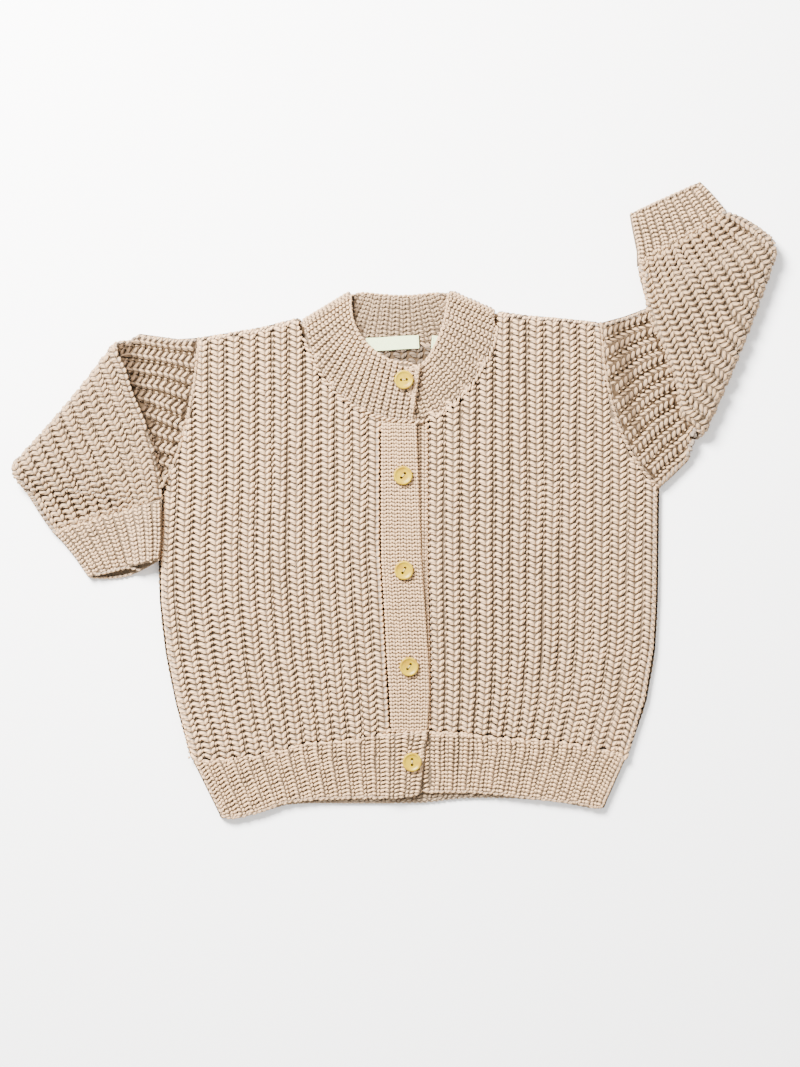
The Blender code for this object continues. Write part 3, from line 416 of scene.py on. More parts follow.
class Yarn:  # gathers plump lengths of yarn and makes one mesh of them
    stationsOf = {3: (0.0, 0.18, 0.52, 0.86, 1.0), 4: (0.0, 0.13, 0.4, 0.7, 0.92, 1.0),
                  5: (0.0, 0.1, 0.3, 0.55, 0.78, 0.93, 1.0)}  # along one length, by its count of rings

    def __init__(self, sides=7, rings=5):
        self.points, self.tucks = [], []
        self.sides, self.stations = sides, np.array(self.stationsOf[rings])
        angles = -90 + 360 / sides * np.arange(sides)  # round it, from its underside
        self.angles = np.radians(angles if sides != 7 else [-90, -30, 15, 60, 105, 150, 210])

    def lay(self, centres, normals, width, height, blunt=0.55, tuck=None):
        # centres and normals are (lengths, stations, 3); width and height are (lengths,)
        tangent = unit(np.gradient(centres, axis=1))
        side = unit(np.cross(normals, tangent))
        up = np.cross(tangent, side)
        profile = np.sin(np.pi * self.stations[1:-1]) ** blunt
        cos, sin = np.cos(self.angles), np.sin(self.angles)
        half = (width[:, None, None, None] / 2) * profile[None, :, None, None]
        tall = (height[:, None, None, None] / 2) * profile[None, :, None, None]
        rings = (centres[:, 1:-1, None, :] + side[:, 1:-1, None, :] * half * cos[None, None, :, None]
                 + up[:, 1:-1, None, :] * tall * sin[None, None, :, None])
        count = len(centres)
        # each length's painted shade, in whole steps
        steps = yarn["tuckSteps"]
        self.tucks.append(np.zeros(count) if tuck is None else np.round(np.clip(tuck, 0, 1) * steps))
        self.points.append(np.concatenate(
            [centres[:, :1, :], rings.reshape(count, -1, 3), centres[:, -1:, :]], axis=1))

    def mesh(self, name):
        points = np.concatenate(self.points)
        points[:, :, 2] = np.maximum(points[:, :, 2], 0.0)
        count, each = points.shape[:2]
        rings, sides = len(self.stations) - 2, self.sides
        faces, uvs = [], []
        for s in range(sides):
            a, b = s, (s + 1) % sides
            sa, sb = s / sides, (s + 1) / sides
            faces.append((0, 1 + b, 1 + a))
            uvs += [(0.0, sa), (self.stations[1], sb), (self.stations[1], sa)]
            last = 1 + (rings - 1) * sides
            faces.append((each - 1, last + a, last + b))
            uvs += [(1.0, sa), (self.stations[rings], sa), (self.stations[rings], sb)]
            for k in range(rings - 1):
                low, high = 1 + k * sides, 1 + (k + 1) * sides
                faces.append((low + a, low + b, high + b, high + a))
                t0, t1 = self.stations[k + 1], self.stations[k + 2]
                uvs += [(t0, sa), (t0, sb), (t1, sb), (t1, sa)]
        sizes = np.array([len(f) for f in faces])
        corners = np.concatenate([np.array(f) for f in faces])
        loops = (corners[None, :] + (np.arange(count) * each)[:, None]).ravel()
        mesh = bpy.data.meshes.new(name)
        mesh.vertices.add(count * each)
        mesh.vertices.foreach_set("co", points.astype(np.float32).ravel())
        mesh.loops.add(len(loops))
        mesh.loops.foreach_set("vertex_index", loops.astype(np.int32))
        allSizes = np.tile(sizes, count)
        mesh.polygons.add(len(allSizes))
        starts = np.concatenate([[0], np.cumsum(allSizes)[:-1]])
        mesh.polygons.foreach_set("loop_start", starts.astype(np.int32))
        mesh.update(calc_edges=True)
        layer = mesh.uv_layers.new(name="yarn")
        one = np.array(uvs)
        every = np.tile(one, (count, 1))
        every[:, 0] = every[:, 0] * 0.98 + 0.01 + np.repeat(np.arange(count), len(one))
        # the steps of painted shade ride on the around coordinate
        every[:, 1] += np.repeat(np.concatenate(self.tucks), len(one))
        layer.uv.foreach_set("vector", every.astype(np.float32).ravel())
        mesh.validate()
        mesh.shade_smooth()
        return mesh


def stitched(name, yarnOf, material):
    return newObject(name, yarnOf.mesh(name), material)


def leg(start, middle, end, width, height, lift, **more):
    # Its places are (across, up) from its stitch's middle, in columns and in rows. Its width and height are
    # shares of the row's pitch, and its lift raises it off the solid, as a share of its height.
    return {"start": start, "middle": middle, "end": end,
            "width": width, "height": height, "lift": lift, **more}


def layKnit(yarnOf, patch, legs, pitch, tuck=None):
    c, r = patch.stitchPlaces(pitch)
    keep = patch.at(patch.inside, c, r) > 0.6
    c, r = c[keep], r[keep]
    along, across = patch.at(patch.along, c, r), patch.at(patch.across, c, r)
    run = np.linalg.norm(along, axis=1)
    skew = (across * along).sum(axis=1) / run  # how far a step across drifts along the column
    t = yarnOf.stations
    middles = patch.at(patch.points, c, r)
    # painted shade at each stitch's middle, where a shade is given
    paintedShades = None if tuck is None else np.array([tuck(*m[:2]) for m in middles])
    for shape in legs:
        jitter = rng.normal(0, 1, (len(c), 6))
        spots = np.array([shape["start"], shape["middle"], shape["end"]])
        x = spots[None, :, 0] + jitter[:, 0:1] * 0.012
        y = spots[None, :, 1] + jitter[:, 1:2] * 0.03
        y[:, 0] += jitter[:, 2] * 0.03
        y[:, 2] += jitter[:, 3] * 0.03
        xs, ys = bend(x, t), bend(y, t)
        if patch.mirrored:
            xs = -xs
        cc = c[:, None] + xs
        rr = r[:, None] + (ys * pitch - skew[:, None] * xs) / run[:, None]
        centres, normals = patch.at(patch.points, cc, rr), patch.at(patch.normals, cc, rr)
        width = pitch * shape["width"] * (1 + jitter[:, 4] * 0.05)
        height = pitch * shape["height"] * (1 + jitter[:, 5] * 0.05)
        dip = shape.get("dip", (0.35, 0.35))
        sink = np.where(t < 0.5, dip[0], dip[1]) * (2 * t - 1) ** 2
        lift = height[:, None] * (shape["lift"] - sink[None, :])
        centres = centres + normals * lift[:, :, None]
        yarnOf.lay(centres, normals, width, height, shape.get("blunt", 0.5), paintedShades)


def shadowBy(line, reach, strength):
    # a painted shade that is strongest beside a line of (x, y, share) and fades over that share of its reach
    line = np.array(line, float)

    def at(x, y):
        best = 0.0
        for a, b in zip(line, line[1:]):
            d = b[:2] - a[:2]
            t = min(max(((x - a[0]) * d[0] + (y - a[1]) * d[1]) / (d @ d), 0.0), 1.0)
            away = math.hypot(x - a[0] - t * d[0], y - a[1] - t * d[1])
            best = max(best, strength * math.exp(-((away / reach / mix(a[2], b[2], t)) ** 2)))
        return best

    return at


def layAlong(yarnOf, line, lobe, pitch, loose=1.0):
    # a row of stitches along a line of (place, outward normal); a lobe is a leg in pitches, (across, along)
    points, normals = np.array([p for p, _ in line]), np.array([n for _, n in line])
    length = lengthsOf(points)
    count = max(int(round(length[-1] / pitch)), 1)
    stops = (np.arange(count) + 0.5 + rng.normal(0, 0.05 * loose, count)) * length[-1] / count
    t = yarnOf.stations

    def read(values, at):
        return np.stack([np.interp(at, length, values[:, i]) for i in range(3)], axis=-1)

    normal = unit(read(normals, stops))
    ahead = unit(read(points, stops + pitch * 0.5) - read(points, stops - pitch * 0.5))
    side = np.cross(normal, ahead)
    spots = np.array([lobe["start"], lobe["middle"], lobe["end"]])[None]
    spots = spots + rng.normal(0, 0.035 * loose, (count, 3, 2))
    xs, ys = bend(spots[:, :, 0], t), bend(spots[:, :, 1], t)
    width = pitch * lobe["width"] * (1 + rng.normal(0, 0.05, count) * loose)
    height = pitch * lobe["height"] * (1 + rng.normal(0, 0.05, count) * loose)
    sink = lobe.get("dip", 0.3) * (2 * t - 1) ** 2
    lift = height[:, None] * (lobe["lift"] - sink[None, :])
    centres = read(points, stops)[:, None] + side[:, None] * xs[..., None] * pitch
    centres = centres + ahead[:, None] * ys[..., None] * pitch + normal[:, None] * lift[..., None]
    yarnOf.lay(centres, np.repeat(normal[:, None], len(t), axis=1), width, height, lobe.get("blunt", 0.45))


def edgeLine(node, plan, z, inside=1, roll=0.5):
    # the node's own edge near a line in plan, at a height; inside is 1 where the cloth lies left of the line,
    # and roll turns the outward normal upward
    xs, ys = evenly(plan)
    line = []
    for x, y, ax, ay in zip(xs, ys, np.gradient(xs), np.gradient(ys)):
        inward = Vector((-ay, ax, 0)).normalized() * inside
        hit, facing, _, _ = trees[node].ray_cast(Vector((x, y, z)) - inward * 0.010, inward, 0.018)
        if hit and facing.dot(inward) < -0.2:
            line.append((hit, (Vector((0, 0, roll)) - inward).normalized()))
    return line


def topLine(nodes, plan, lift=0.0, ceiling=1.0):
    # the highest face of the nodes under a line in plan
    line = []
    for x, y in zip(*evenly(plan)):
        hits = [hit for hit in (below(trees[n], x, y) for n in nodes) if hit]
        hits = hits or [trees[nodes[0]].find_nearest(Vector((x, y, Patch.edgeHeight)))[0]]
        height = max(hit.z for hit in hits)
        if height < ceiling:
            line.append((Vector((x, y, height + lift)), Vector((0, 0, 1))))
    return line


edgeLobes = {
    "side": leg((-0.42, -0.46), (0.0, 0.0), (0.42, 0.46), 0.78, 0.66, -0.30),
    "castOff": leg((-0.17, -0.58), (0.02, 0.0), (0.17, 0.58), 0.60, 0.58, -0.26),
    "seam": leg((-0.16, -0.56), (0.0, 0.0), (0.16, 0.56), 0.66, 0.62, -0.42),
    "chain": leg((-0.30, -0.60), (0.02, 0.0), (0.30, 0.60), 0.54, 0.46, 0.02, dip=0.55),
    "sewing": leg((0.0, -0.36), (0.03, 0.0), (0.0, 0.36), 0.34, 0.26, 0.25),
}


def edged(name, lines, lobe, pitch, material):
    yarnOf = Yarn(6, 4)
    for line in lines:
        if len(line) > 2:
            layAlong(yarnOf, line, edgeLobes[lobe], pitch)
    return stitched(name, yarnOf, material)


# Walls under the stitches, one for each knitted solid

def underShell(node, material, inset, hollow=False):
    # a wall on the solid's form, drawn in under its stitches; faces that look down stay where they are
    work = bmesh.new()
    work.from_mesh(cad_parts[node].data)
    bmesh.ops.remove_doubles(work, verts=work.verts, dist=1e-6)
    bmesh.ops.recalc_face_normals(work, faces=work.faces)
    work.normal_update()
    if hollow:  # a second skin inside makes it a tube of cloth
        skin = bmesh.ops.duplicate(work, geom=work.verts[:] + work.edges[:] + work.faces[:])["geom"]
        inner = {v for v in skin if isinstance(v, bmesh.types.BMVert)}
        for vert in inner:
            vert.co -= vert.normal * (inset + 0.0007)
        outer = [v for v in work.verts if v not in inner]
    else:
        outer = work.verts
    for vert in outer:
        facing = min(max((vert.normal.z + 0.3) / 0.6, 0), 1)
        vert.co -= vert.normal * (facing * inset)
    for vert in work.verts:
        vert.co.z = max(vert.co.z, 0.0)
    if hollow:
        bmesh.ops.reverse_faces(work, faces=[f for f in skin if isinstance(f, bmesh.types.BMFace)])
    mesh = meshFrom(work, node + "_wall")
    mesh.shade_smooth()
    wall = newObject(node + "_wall", mesh, material)
    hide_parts(node)
    return wall


# Fronts

frontKnit = {
    "columns": 14,
    "rowPitch": 0.00395,
    "apex": {"right": 0.10, "left": 0.06},  # from the column's middle
    "inset": 0.0019,
    "edgeLevel": 0.0058,
    "seamSpan": (-0.150, 0.0515),  # heights between which the band's seam is read, and the side seam
    "sideSpan": (-0.168, 0.0079),
    "spill": {"collar": 0.0036, "hem": 0.0034, "side": 0.0019},  # how far the knit goes past the solid
    "collarZone": (0.068, 0.045, 0.114),  # its half width, and its heights in plan
    "hemTop": -0.15,
    "across": (-0.008, 1.002),  # shares of the width at which the first and last columns end
}


def chunkyLegs(apex, lift=-0.36, full=1.0):
    # a long leg down to the stitch's point, and a short steep one up from it
    return [leg((-0.425, 0.34), (apex - 0.27, 0.10), (apex - 0.005, -0.48), 0.80 * full, 0.80, lift,
                dip=(0.36, 0.30), blunt=0.42),
            leg((apex + 0.045, -0.50), (apex + 0.195, -0.08), (0.455, 0.46), 0.76 * full, 0.80, lift - 0.02,
                dip=(0.36, 0.40), blunt=0.42)]


purl = [leg((-0.475, -0.12), (-0.440, 0.16), (-0.400, 0.46), 0.46, 0.56, -0.16, dip=(0.2, 0.2))]


def tabled(function, low, high, count=30):
    # a function of one number, read once at count places and then between them
    read = [(at, function(at)) for at in np.linspace(low, high, count)]
    at, values = zip(*sorted((a, v) for a, v in read if v is not None))
    return lambda a: float(np.interp(a, at, values))


def outwardOf(side):
    return -1 if side == "right" else 1


def frontSides(side):
    # x of the band's seam and of the side seam at any height, from the solid's own edges
    node, outward = side + "_front", outwardOf(side)
    seamX = tabled(lambda y: edgeHit(node, 0, y, (outward, 0)).x, *frontKnit["seamSpan"])
    sideX = tabled(lambda y: outerX(node, y, outward), *frontKnit["sideSpan"])
    return seamX, sideX


def frontPatch(side):
    node = side + "_front"
    seamX, sideX = frontSides(side)
    columns, pitch, foot = frontKnit["columns"], frontKnit["rowPitch"], frontKnit["sideSpan"][0]
    lowOf = tabled(lambda u: lowerY(node, mix(seamX(foot), sideX(foot), u)), 0.004, 0.996, 60)
    level = lowOf(0.5)
    rows = int((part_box(node)[1].y - level) / pitch) + 3

    def place(c, r):
        u = c / columns
        y = mix(level, lowOf(u), 1 - r / rows) + r * pitch
        return mix(seamX(y), sideX(y), mix(*frontKnit["across"], u)), y

    def spill(x, y, c, r):
        half, low, high = frontKnit["collarZone"]
        collared = abs(x) < half and low < y < high
        return frontKnit["spill"]["collar" if collared else "hem" if y < frontKnit["hemTop"] else "side"]

    return Patch(node, place, (0, columns), (-1.1, rows), spill=spill)


shoulders = {  # from the collar to the sleeve, in plan
    "right": [(-61.0, 117.5), (-90.0, 112.5), (-112.0, 110.5), (-131.0, 108.6)],
    "left": [(66.6, 124.0), (90.0, 120.5), (115.0, 119.0), (138.0, 118.6)],
}


def sideLines(side, node, z):  # the shoulder and the side seam of a front, or of the back under it
    sideX, outward = frontSides(side)[1], outwardOf(side)
    shoulder = [tuple(fromTable(*p)) for p in shoulders[side]]
    seam = [(sideX(y), y) for y in np.linspace(-0.166, 0.006, 40)]
    return [edgeLine(node, shoulder, z, inside=-outward), edgeLine(node, seam, z, inside=outward)]


def makeFront(side):
    node, pitch = side + "_front", frontKnit["rowPitch"]
    patch = frontPatch(side)
    yarnOf, purls = Yarn(), Yarn(5, 3)
    layKnit(yarnOf, patch, chunkyLegs(frontKnit["apex"][side]), pitch)
    layKnit(purls, patch, purl, pitch)
    edges = sideLines(side, node, frontKnit["edgeLevel"])
    made = [stitched(node + "_stitches", yarnOf, chunkyYarn),
            stitched(node + "_purls", purls, chunkyYarn),
            edged(node + "_edge", edges, "side", pitch, chunkyYarn)]
    wall = underShell(node, chunkyUnder, frontKnit["inset"])


for side in ("right", "left"):
    makeFront(side)
    print("front", side)


# Hems

hemKnit = {
    "rowPitch": 0.0027,
    "rows": 16.5,
    "inset": 0.0012,
    "edgeLevel": 0.0054,
    "edgePitch": 1.35,
    "lapColumns": {"right": 2, "left": 1.2},
    "lapSpan": (-0.196, -0.158),  # heights in plan between which the lap's free edge is read
    "sideTop": -0.175,
    "sideFoot": -0.206,
}

hemLegs = {
    "right": [leg((-0.45, -0.40), (-0.375, 0.0), (-0.30, 0.42), 0.76, 0.62, -0.22),
              leg((-0.24, -0.30), (-0.07, 0.05), (0.15, 0.33), 0.80, 0.62, -0.26),
              leg((0.10, 0.42), (0.28, 0.18), (0.47, -0.20), 1.02, 0.60, -0.32)],
    "left": [leg((-0.485, 0.30), (-0.37, 0.06), (-0.22, -0.32), 0.78, 0.62, -0.28),
             leg((-0.23, 0.36), (-0.05, 0.07), (0.17, -0.32), 1.0, 0.62, -0.31),
             leg((0.23, -0.42), (0.325, 0.0), (0.43, 0.42), 0.80, 0.62, -0.22)],
}


def hemPatch(side):
    node, outward = side + "_front_hem", outwardOf(side)
    seamX, sideX = frontSides(side)
    columns, rows, lapped = frontKnit["columns"], hemKnit["rows"], hemKnit["lapColumns"][side]
    sideTop, frontFoot = hemKnit["sideTop"], frontKnit["sideSpan"][0]
    hemSide = tabled(lambda y: outerX(node, y, outward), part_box(node)[0].y + 0.004, sideTop)
    seam, corner = seamX(frontKnit["seamSpan"][0]), hemSide(hemKnit["sideFoot"])
    lapEdge = tabled(lambda y: outerX(node, y, -outward, away=nearOut), *hemKnit["lapSpan"])
    lapLimit = lapEdge(-0.18) + outward * 0.0008
    lowOf = tabled(lambda u: lowerY(node, mix(seam, corner, u)), 0.004, 0.99, 60)
    highOf = tabled(lambda u: edgeHit(node, mix(seam, sideX(frontFoot), u), 0.0, (0, -1)).y, 0.004, 0.955, 60)

    def sideAt(y):
        return float(np.interp(y, (sideTop, frontFoot), (hemSide(min(y, sideTop)), sideX(frontFoot))))

    def place(c, r):
        v = r / rows
        if c >= 0:
            u = c / columns
            y = mix(lowOf(u), highOf(u), v)
            return mix(seam, sideAt(y), u), y
        y = mix(lowOf(0), highOf(0), v)
        x = mix(seam, lapEdge(y), -c / lapped)
        inside = min(x, lapLimit) if side == "right" else max(x, lapLimit)
        low, high = edgeHit(node, inside, -farOut, (0, 1)), edgeHit(node, inside, 0.0, (0, -1))
        return x, mix(low.y, high.y, v) if low and high else y

    return Patch(node, place, (-lapped, columns), (-0.5, rows + 0.9), perColumn=7)


def hemLines(side, node, z):
    # the side and the free edge of a hem, from the top of the side down and round to the lap
    low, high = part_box(node)
    outward, foot = outwardOf(side), low.y + 0.004
    hemSide = tabled(lambda y: outerX(node, y, outward, (z,)), foot, hemKnit["sideTop"])
    inner = 0.0 if node == "back_hem" else (high.x if side == "right" else low.x) - outward * 0.0002
    start, end = inner + outward * 0.0015, hemSide(foot) - outward * 0.001
    lower = tabled(lambda x: lowerY(node, x, (z,)), start, end, 60)
    ends = np.linspace(hemSide(foot) - outward * 0.0005, start, 60)
    return [edgeLine(node, [(hemSide(y), y) for y in np.linspace(-0.172, foot, 14)], z, inside=-outward),
            edgeLine(node, [(x, lower(x)) for x in ends], z, inside=-outward)]


def makeHem(side):
    node, pitch = side + "_front_hem", hemKnit["rowPitch"]
    yarnOf = Yarn(6, 3)
    layKnit(yarnOf, hemPatch(side), hemLegs[side], pitch)
    edges = hemLines(side, node, hemKnit["edgeLevel"])
    made = [stitched(node + "_stitches", yarnOf, fineYarn),
            edged(node + "_edge", edges, "castOff", pitch * hemKnit["edgePitch"], fineYarn)]
    wall = underShell(node, fineUnder, hemKnit["inset"])


for side in ("right", "left"):
    makeHem(side)
    print("hem", side)


# Button bands

# the gap's reach and depth are of the painted shade beside the right band's free edge
bandKnit = {"rowPitch": 0.00245, "inset": 0.0010, "footPitch": 1.25, "gapReach": 0.0017, "gapDepth": 0.62,
            "columns": {"right": 7, "left": 6}, "cut": {"right": (0.0265, 0.206), "left": (0.024, 0.206)},
            "restsOn": {"right": "left_band", "left": "back"}}

bandLegs = [leg((-0.46, 0.35), (-0.26, 0.02), (0.0, -0.45), 0.80, 0.62, -0.32),
            leg((0.02, -0.50), (0.26, 0.0), (0.47, 0.40), 0.80, 0.62, -0.32)]


def bandSide(node, turn):  # x of one of the band's long edges at any height
    low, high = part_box(node)
    return tabled(lambda y: outerX(node, y, turn, away=nearOut), low.y + 0.001, high.y - 0.001)


def bandPatch(side):
    node, columns, pitch = side + "_band", bandKnit["columns"][side], bandKnit["rowPitch"]
    low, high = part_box(node)
    leftX, rightX = bandSide(node, -1), bandSide(node, 1)
    rows = (high.y - low.y) / pitch

    def place(c, r):
        y = low.y + r * pitch
        return mix(leftX(y), rightX(y), c / columns), y

    return Patch(node, place, (0, columns), (0, rows + 1.2), perColumn=6, spill=lambda x, y, c, r: 0.0026)


def bandEdge(node):
    low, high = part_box(node)
    z = (low.z + high.z) / 2
    ys = np.linspace(low.y + 0.002, high.y - 0.002, 60)
    lines = []
    for turn in (-1, 1):
        xOf = bandSide(node, turn)
        lines.append(edgeLine(node, [(xOf(y), y) for y in ys], z, inside=turn))
    return edged(node + "_edge", lines, "side", bandKnit["rowPitch"], fineYarn)


def bandFoot(side):
    low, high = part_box(side + "_band")
    plan = [(low.x + 0.0006, low.y - 0.0004), (high.x - 0.0006, low.y - 0.0004)]
    line = topLine([side + "_band", side + "_front_hem"], plan, lift=-0.0004)
    pitch = bandKnit["rowPitch"] * bandKnit["footPitch"]
    return edged(side + "_band_foot", [line], "seam", pitch, fineYarn)


def gapShade():  # painted shade on the left band, along the free edge of the right one
    beside = tabled(lambda y: outerX("right_band", y, 1, away=nearOut), -0.150, 0.050)
    line = [(beside(y) + 0.0004, y, 1.0) for y in np.linspace(-0.148, 0.050, 12)]
    return shadowBy(line, bandKnit["gapReach"], bandKnit["gapDepth"])


def makeBand(side):
    node = side + "_band"
    yarnOf = Yarn(6, 3)
    # only the left band gets that painted shade
    tuck = gapShade() if side == "left" else None
    layKnit(yarnOf, bandPatch(side), bandLegs, bandKnit["rowPitch"], tuck)
    made = [stitched(node + "_stitches", yarnOf, fineYarn), bandEdge(node), bandFoot(side)]
    wall = underShell(node, fineUnder, bandKnit["inset"])


for side in ("right", "left"):
    makeBand(side)
    print("band", side)


# Collar

collarKnit = {
    "rowPitch": 0.0029,
    "rows": 12.5,
    "ribs": {"right": 22, "back": 16, "left": 18},
    "foldRibs": 1.6,
    "foldOut": 0.0044,
    "inset": 0.0011,
    # rows of (x, y, share) of painted shade beside the top end and in the fold at the neck, each with its
    # shade's reach and depth
    "lapShade": [(18.2, 88.0, 0.9), (16.4, 72.0, 1.0), (13.4, 54.0, 0.7)],
    "lapReach": 0.0017,
    "lapDepth": 0.75,
    "foldShade": [(-29.5, 139.4, 1.0), (-29.0, 127.0, 1.1), (-27.0, 117.0, 0.8), (-20.0, 106.0, 0.5)],
    "foldReach": 0.0042,
    "foldDepth": 0.8,
}

# rows of (free edge x, y, seam x, y), from the end on top, round the neck, to the end that tucks under
collarRows = {
    "right": [(17.4, 87.8, 12.7, 52.3), (8.7, 92.1, 2.0, 52.3), (-0.7, 93.1, -9.4, 54.9),
              (-9.4, 97.2, -20.8, 59.0), (-16.1, 102.5, -31.5, 65.0), (-21.4, 108.5, -40.9, 73.0),
              (-25.5, 115.2, -48.9, 83.1), (-27.8, 122.6, -55.6, 95.1), (-28.8, 130.0, -60.3, 107.2),
              (-28.8, 136.6, -61.4, 116.9)],
    "back": [(-28.8, 136.6, -61.4, 116.9), (-24.8, 138.4, -48.9, 111.2), (-18.1, 138.8, -32.2, 105.9),
             (-8.7, 137.8, -14.1, 103.2), (3.4, 137.0, 3.4, 101.8), (15.4, 137.6, 20.8, 103.2),
             (25.6, 138.6, 38.9, 107.2), (31.2, 138.0, 54.3, 114.0), (35.3, 137.2, 66.6, 123.4)],
    "left": [(35.3, 137.2, 66.6, 123.4), (33.8, 128.6, 68.0, 113.9), (32.2, 119.9, 65.7, 102.5),
             (29.5, 110.6, 60.3, 91.1), (25.8, 102.5, 53.6, 79.7), (21.4, 95.1, 44.9, 69.7),
             (16.8, 90.8, 34.8, 60.6), (11.4, 88.8, 24.1, 53.9), (6.0, 88.4, 13.4, 51.8)],
}

collarLegs = [leg((-0.47, 0.30), (-0.28, 0.0), (-0.05, -0.48), 0.70, 0.56, -0.28),
              leg((-0.02, -0.50), (0.19, -0.02), (0.40, 0.34), 0.70, 0.56, -0.28)]
insideLegs = [leg((-0.46, 0.30), (-0.36, 0.0), (-0.22, -0.48), 0.62, 0.56, -0.20),
              leg((-0.19, -0.50), (-0.06, -0.02), (0.03, 0.34), 0.62, 0.56, -0.20),
              leg((0.08, 0.40), (0.28, 0.04), (0.48, -0.36), 0.84, 0.54, -0.42)]


def collarFoldAt(part):  # the seam's end and the free end of one of the folds, and the way out from it
    row = collarRows[part][-1 if part == "right" else 0]
    free, seam = fromTable(*row[:2]), fromTable(*row[2:])
    along = (seam - free).normalized()
    outward = Vector((along.y, -along.x))
    return seam, free, outward if part == "right" else -outward


def collarPatch(part):
    table, ribs = collarRows[part], collarKnit["ribs"][part]
    extra = 0 if part == "back" else collarKnit["foldRibs"]
    outward = collarFoldAt(part)[2]

    def place(c, r):
        row = rowAt(table, min(max(c / ribs, 0.0), 1.0))
        a, b = fromTable(*row[:2]), fromTable(*row[2:])
        over = c - ribs if part == "right" else -c
        if extra and over > 0:
            past = outward * (collarKnit["foldOut"] * over / extra)
            a, b = a + past, b + past
        spot = b.lerp(a, r / collarKnit["rows"])
        return spot.x, spot.y

    columns = (0, ribs + extra) if part == "right" else (-extra, ribs) if part == "left" else (0, ribs)
    return Patch("collar", place, columns, (-0.2, collarKnit["rows"]), perColumn=6,
                 ceiling=0.0046 if part == "back" else 1.0, spill=lambda x, y, c, r: 0.0004)


def tabledShade(line, reach, depth):  # a table's line is in millimetres
    return shadowBy([(*fromTable(x, y), share) for x, y, share in line], reach, depth)


def collarLine(part, share):  # round the collar in plan, from its free edge at 0 to its seam at 1
    rows = [rowAt(collarRows[part], t) for t in np.linspace(0, 1, 40)]
    return [tuple(fromTable(mix(r[0], r[2], share), mix(r[1], r[3], share))) for r in rows]


def foldLines():  # up the outer side of each of the collar's folds
    lines = []
    for part, turn in (("right", -1), ("left", 1)):
        seam, free, outward = collarFoldAt(part)
        out = outward * collarKnit["foldOut"]
        plan = [tuple(seam.lerp(free, t) + out) for t in np.linspace(0.0, 1.0, 12)]
        lines += [edgeLine("collar", plan, z, inside=turn, roll=0.6) for z in (0.0022, 0.0056)]
    return lines


def makeCollar():
    pitch = collarKnit["rowPitch"]
    yarnOf, inside = Yarn(6, 3), Yarn(6, 3)
    lapShade = tabledShade(collarKnit["lapShade"], collarKnit["lapReach"], collarKnit["lapDepth"])
    foldShade = tabledShade(collarKnit["foldShade"], collarKnit["foldReach"], collarKnit["foldDepth"])
    layKnit(yarnOf, collarPatch("right"), collarLegs, pitch)
    layKnit(yarnOf, collarPatch("left"), collarLegs, pitch, lapShade)
    layKnit(inside, collarPatch("back"), insideLegs, pitch, foldShade)
    under = ["collar", "right_front", "left_front", "right_band"]
    free = [topLine(["collar"], collarLine(part, 0.02)) for part in ("right", "left", "back")]
    seams = [topLine(under, collarLine("right", 1.0)[:-4]), topLine(under, collarLine("left", 1.0)[4:]),
             topLine(["collar", "back"], collarLine("back", 1.0), lift=-0.0011, ceiling=0.0040)]
    made = [stitched("collar_stitches", yarnOf, shadedRibYarn),
            stitched("collar_back_stitches", inside, shadedCollarBackYarn),
            edged("collar_edge", free, "castOff", pitch * 1.1, shadedRibYarn),
            edged("collar_seam", seams, "chain", pitch * 1.27, shadedRibYarn),
            edged("collar_fold", foldLines(), "side", pitch, shadedRibYarn)]
    wall = underShell("collar", fineUnder, collarKnit["inset"])


makeCollar()
print("collar")


# Sleeves: rows of (top edge x, y, underarm edge x, y)

sleeveKnit = {
    "columns": 11,
    "rowPitch": 0.0040,
    "apex": 0.08,
    "inset": 0.0017,
    "edgeLevels": (0.0019, 0.0057, 0.0098),
    "half": 0.0039,  # half the thickness of a flattened sleeve
    "foldRadius": 0.00375,
    "slant": 0.75,  # share of a rib's way along the fold that it makes while turning over
    "foldAngles": (40, 65, 90, 115, 140, 165),
    "lower": {"wide": 1.045, "lap": 1.1},  # of the layer on top, which goes a little way over its edges
    "upper": {"wide": 1.02, "lap": 1.2, "ceiling": 0.0100, "full": 0.86},  # under it, from the armhole
    "ledge": 0.0092,  # the top layer's least height
    "ledgeFrom": 8,  # and the row from which it holds
    "spill": {"end": 0.0042, "side": 0.0019},
    "edgePitch": 0.92,
    "cut": {"right": (0.200, 0.155), "left": (0.225, 0.165)},
}

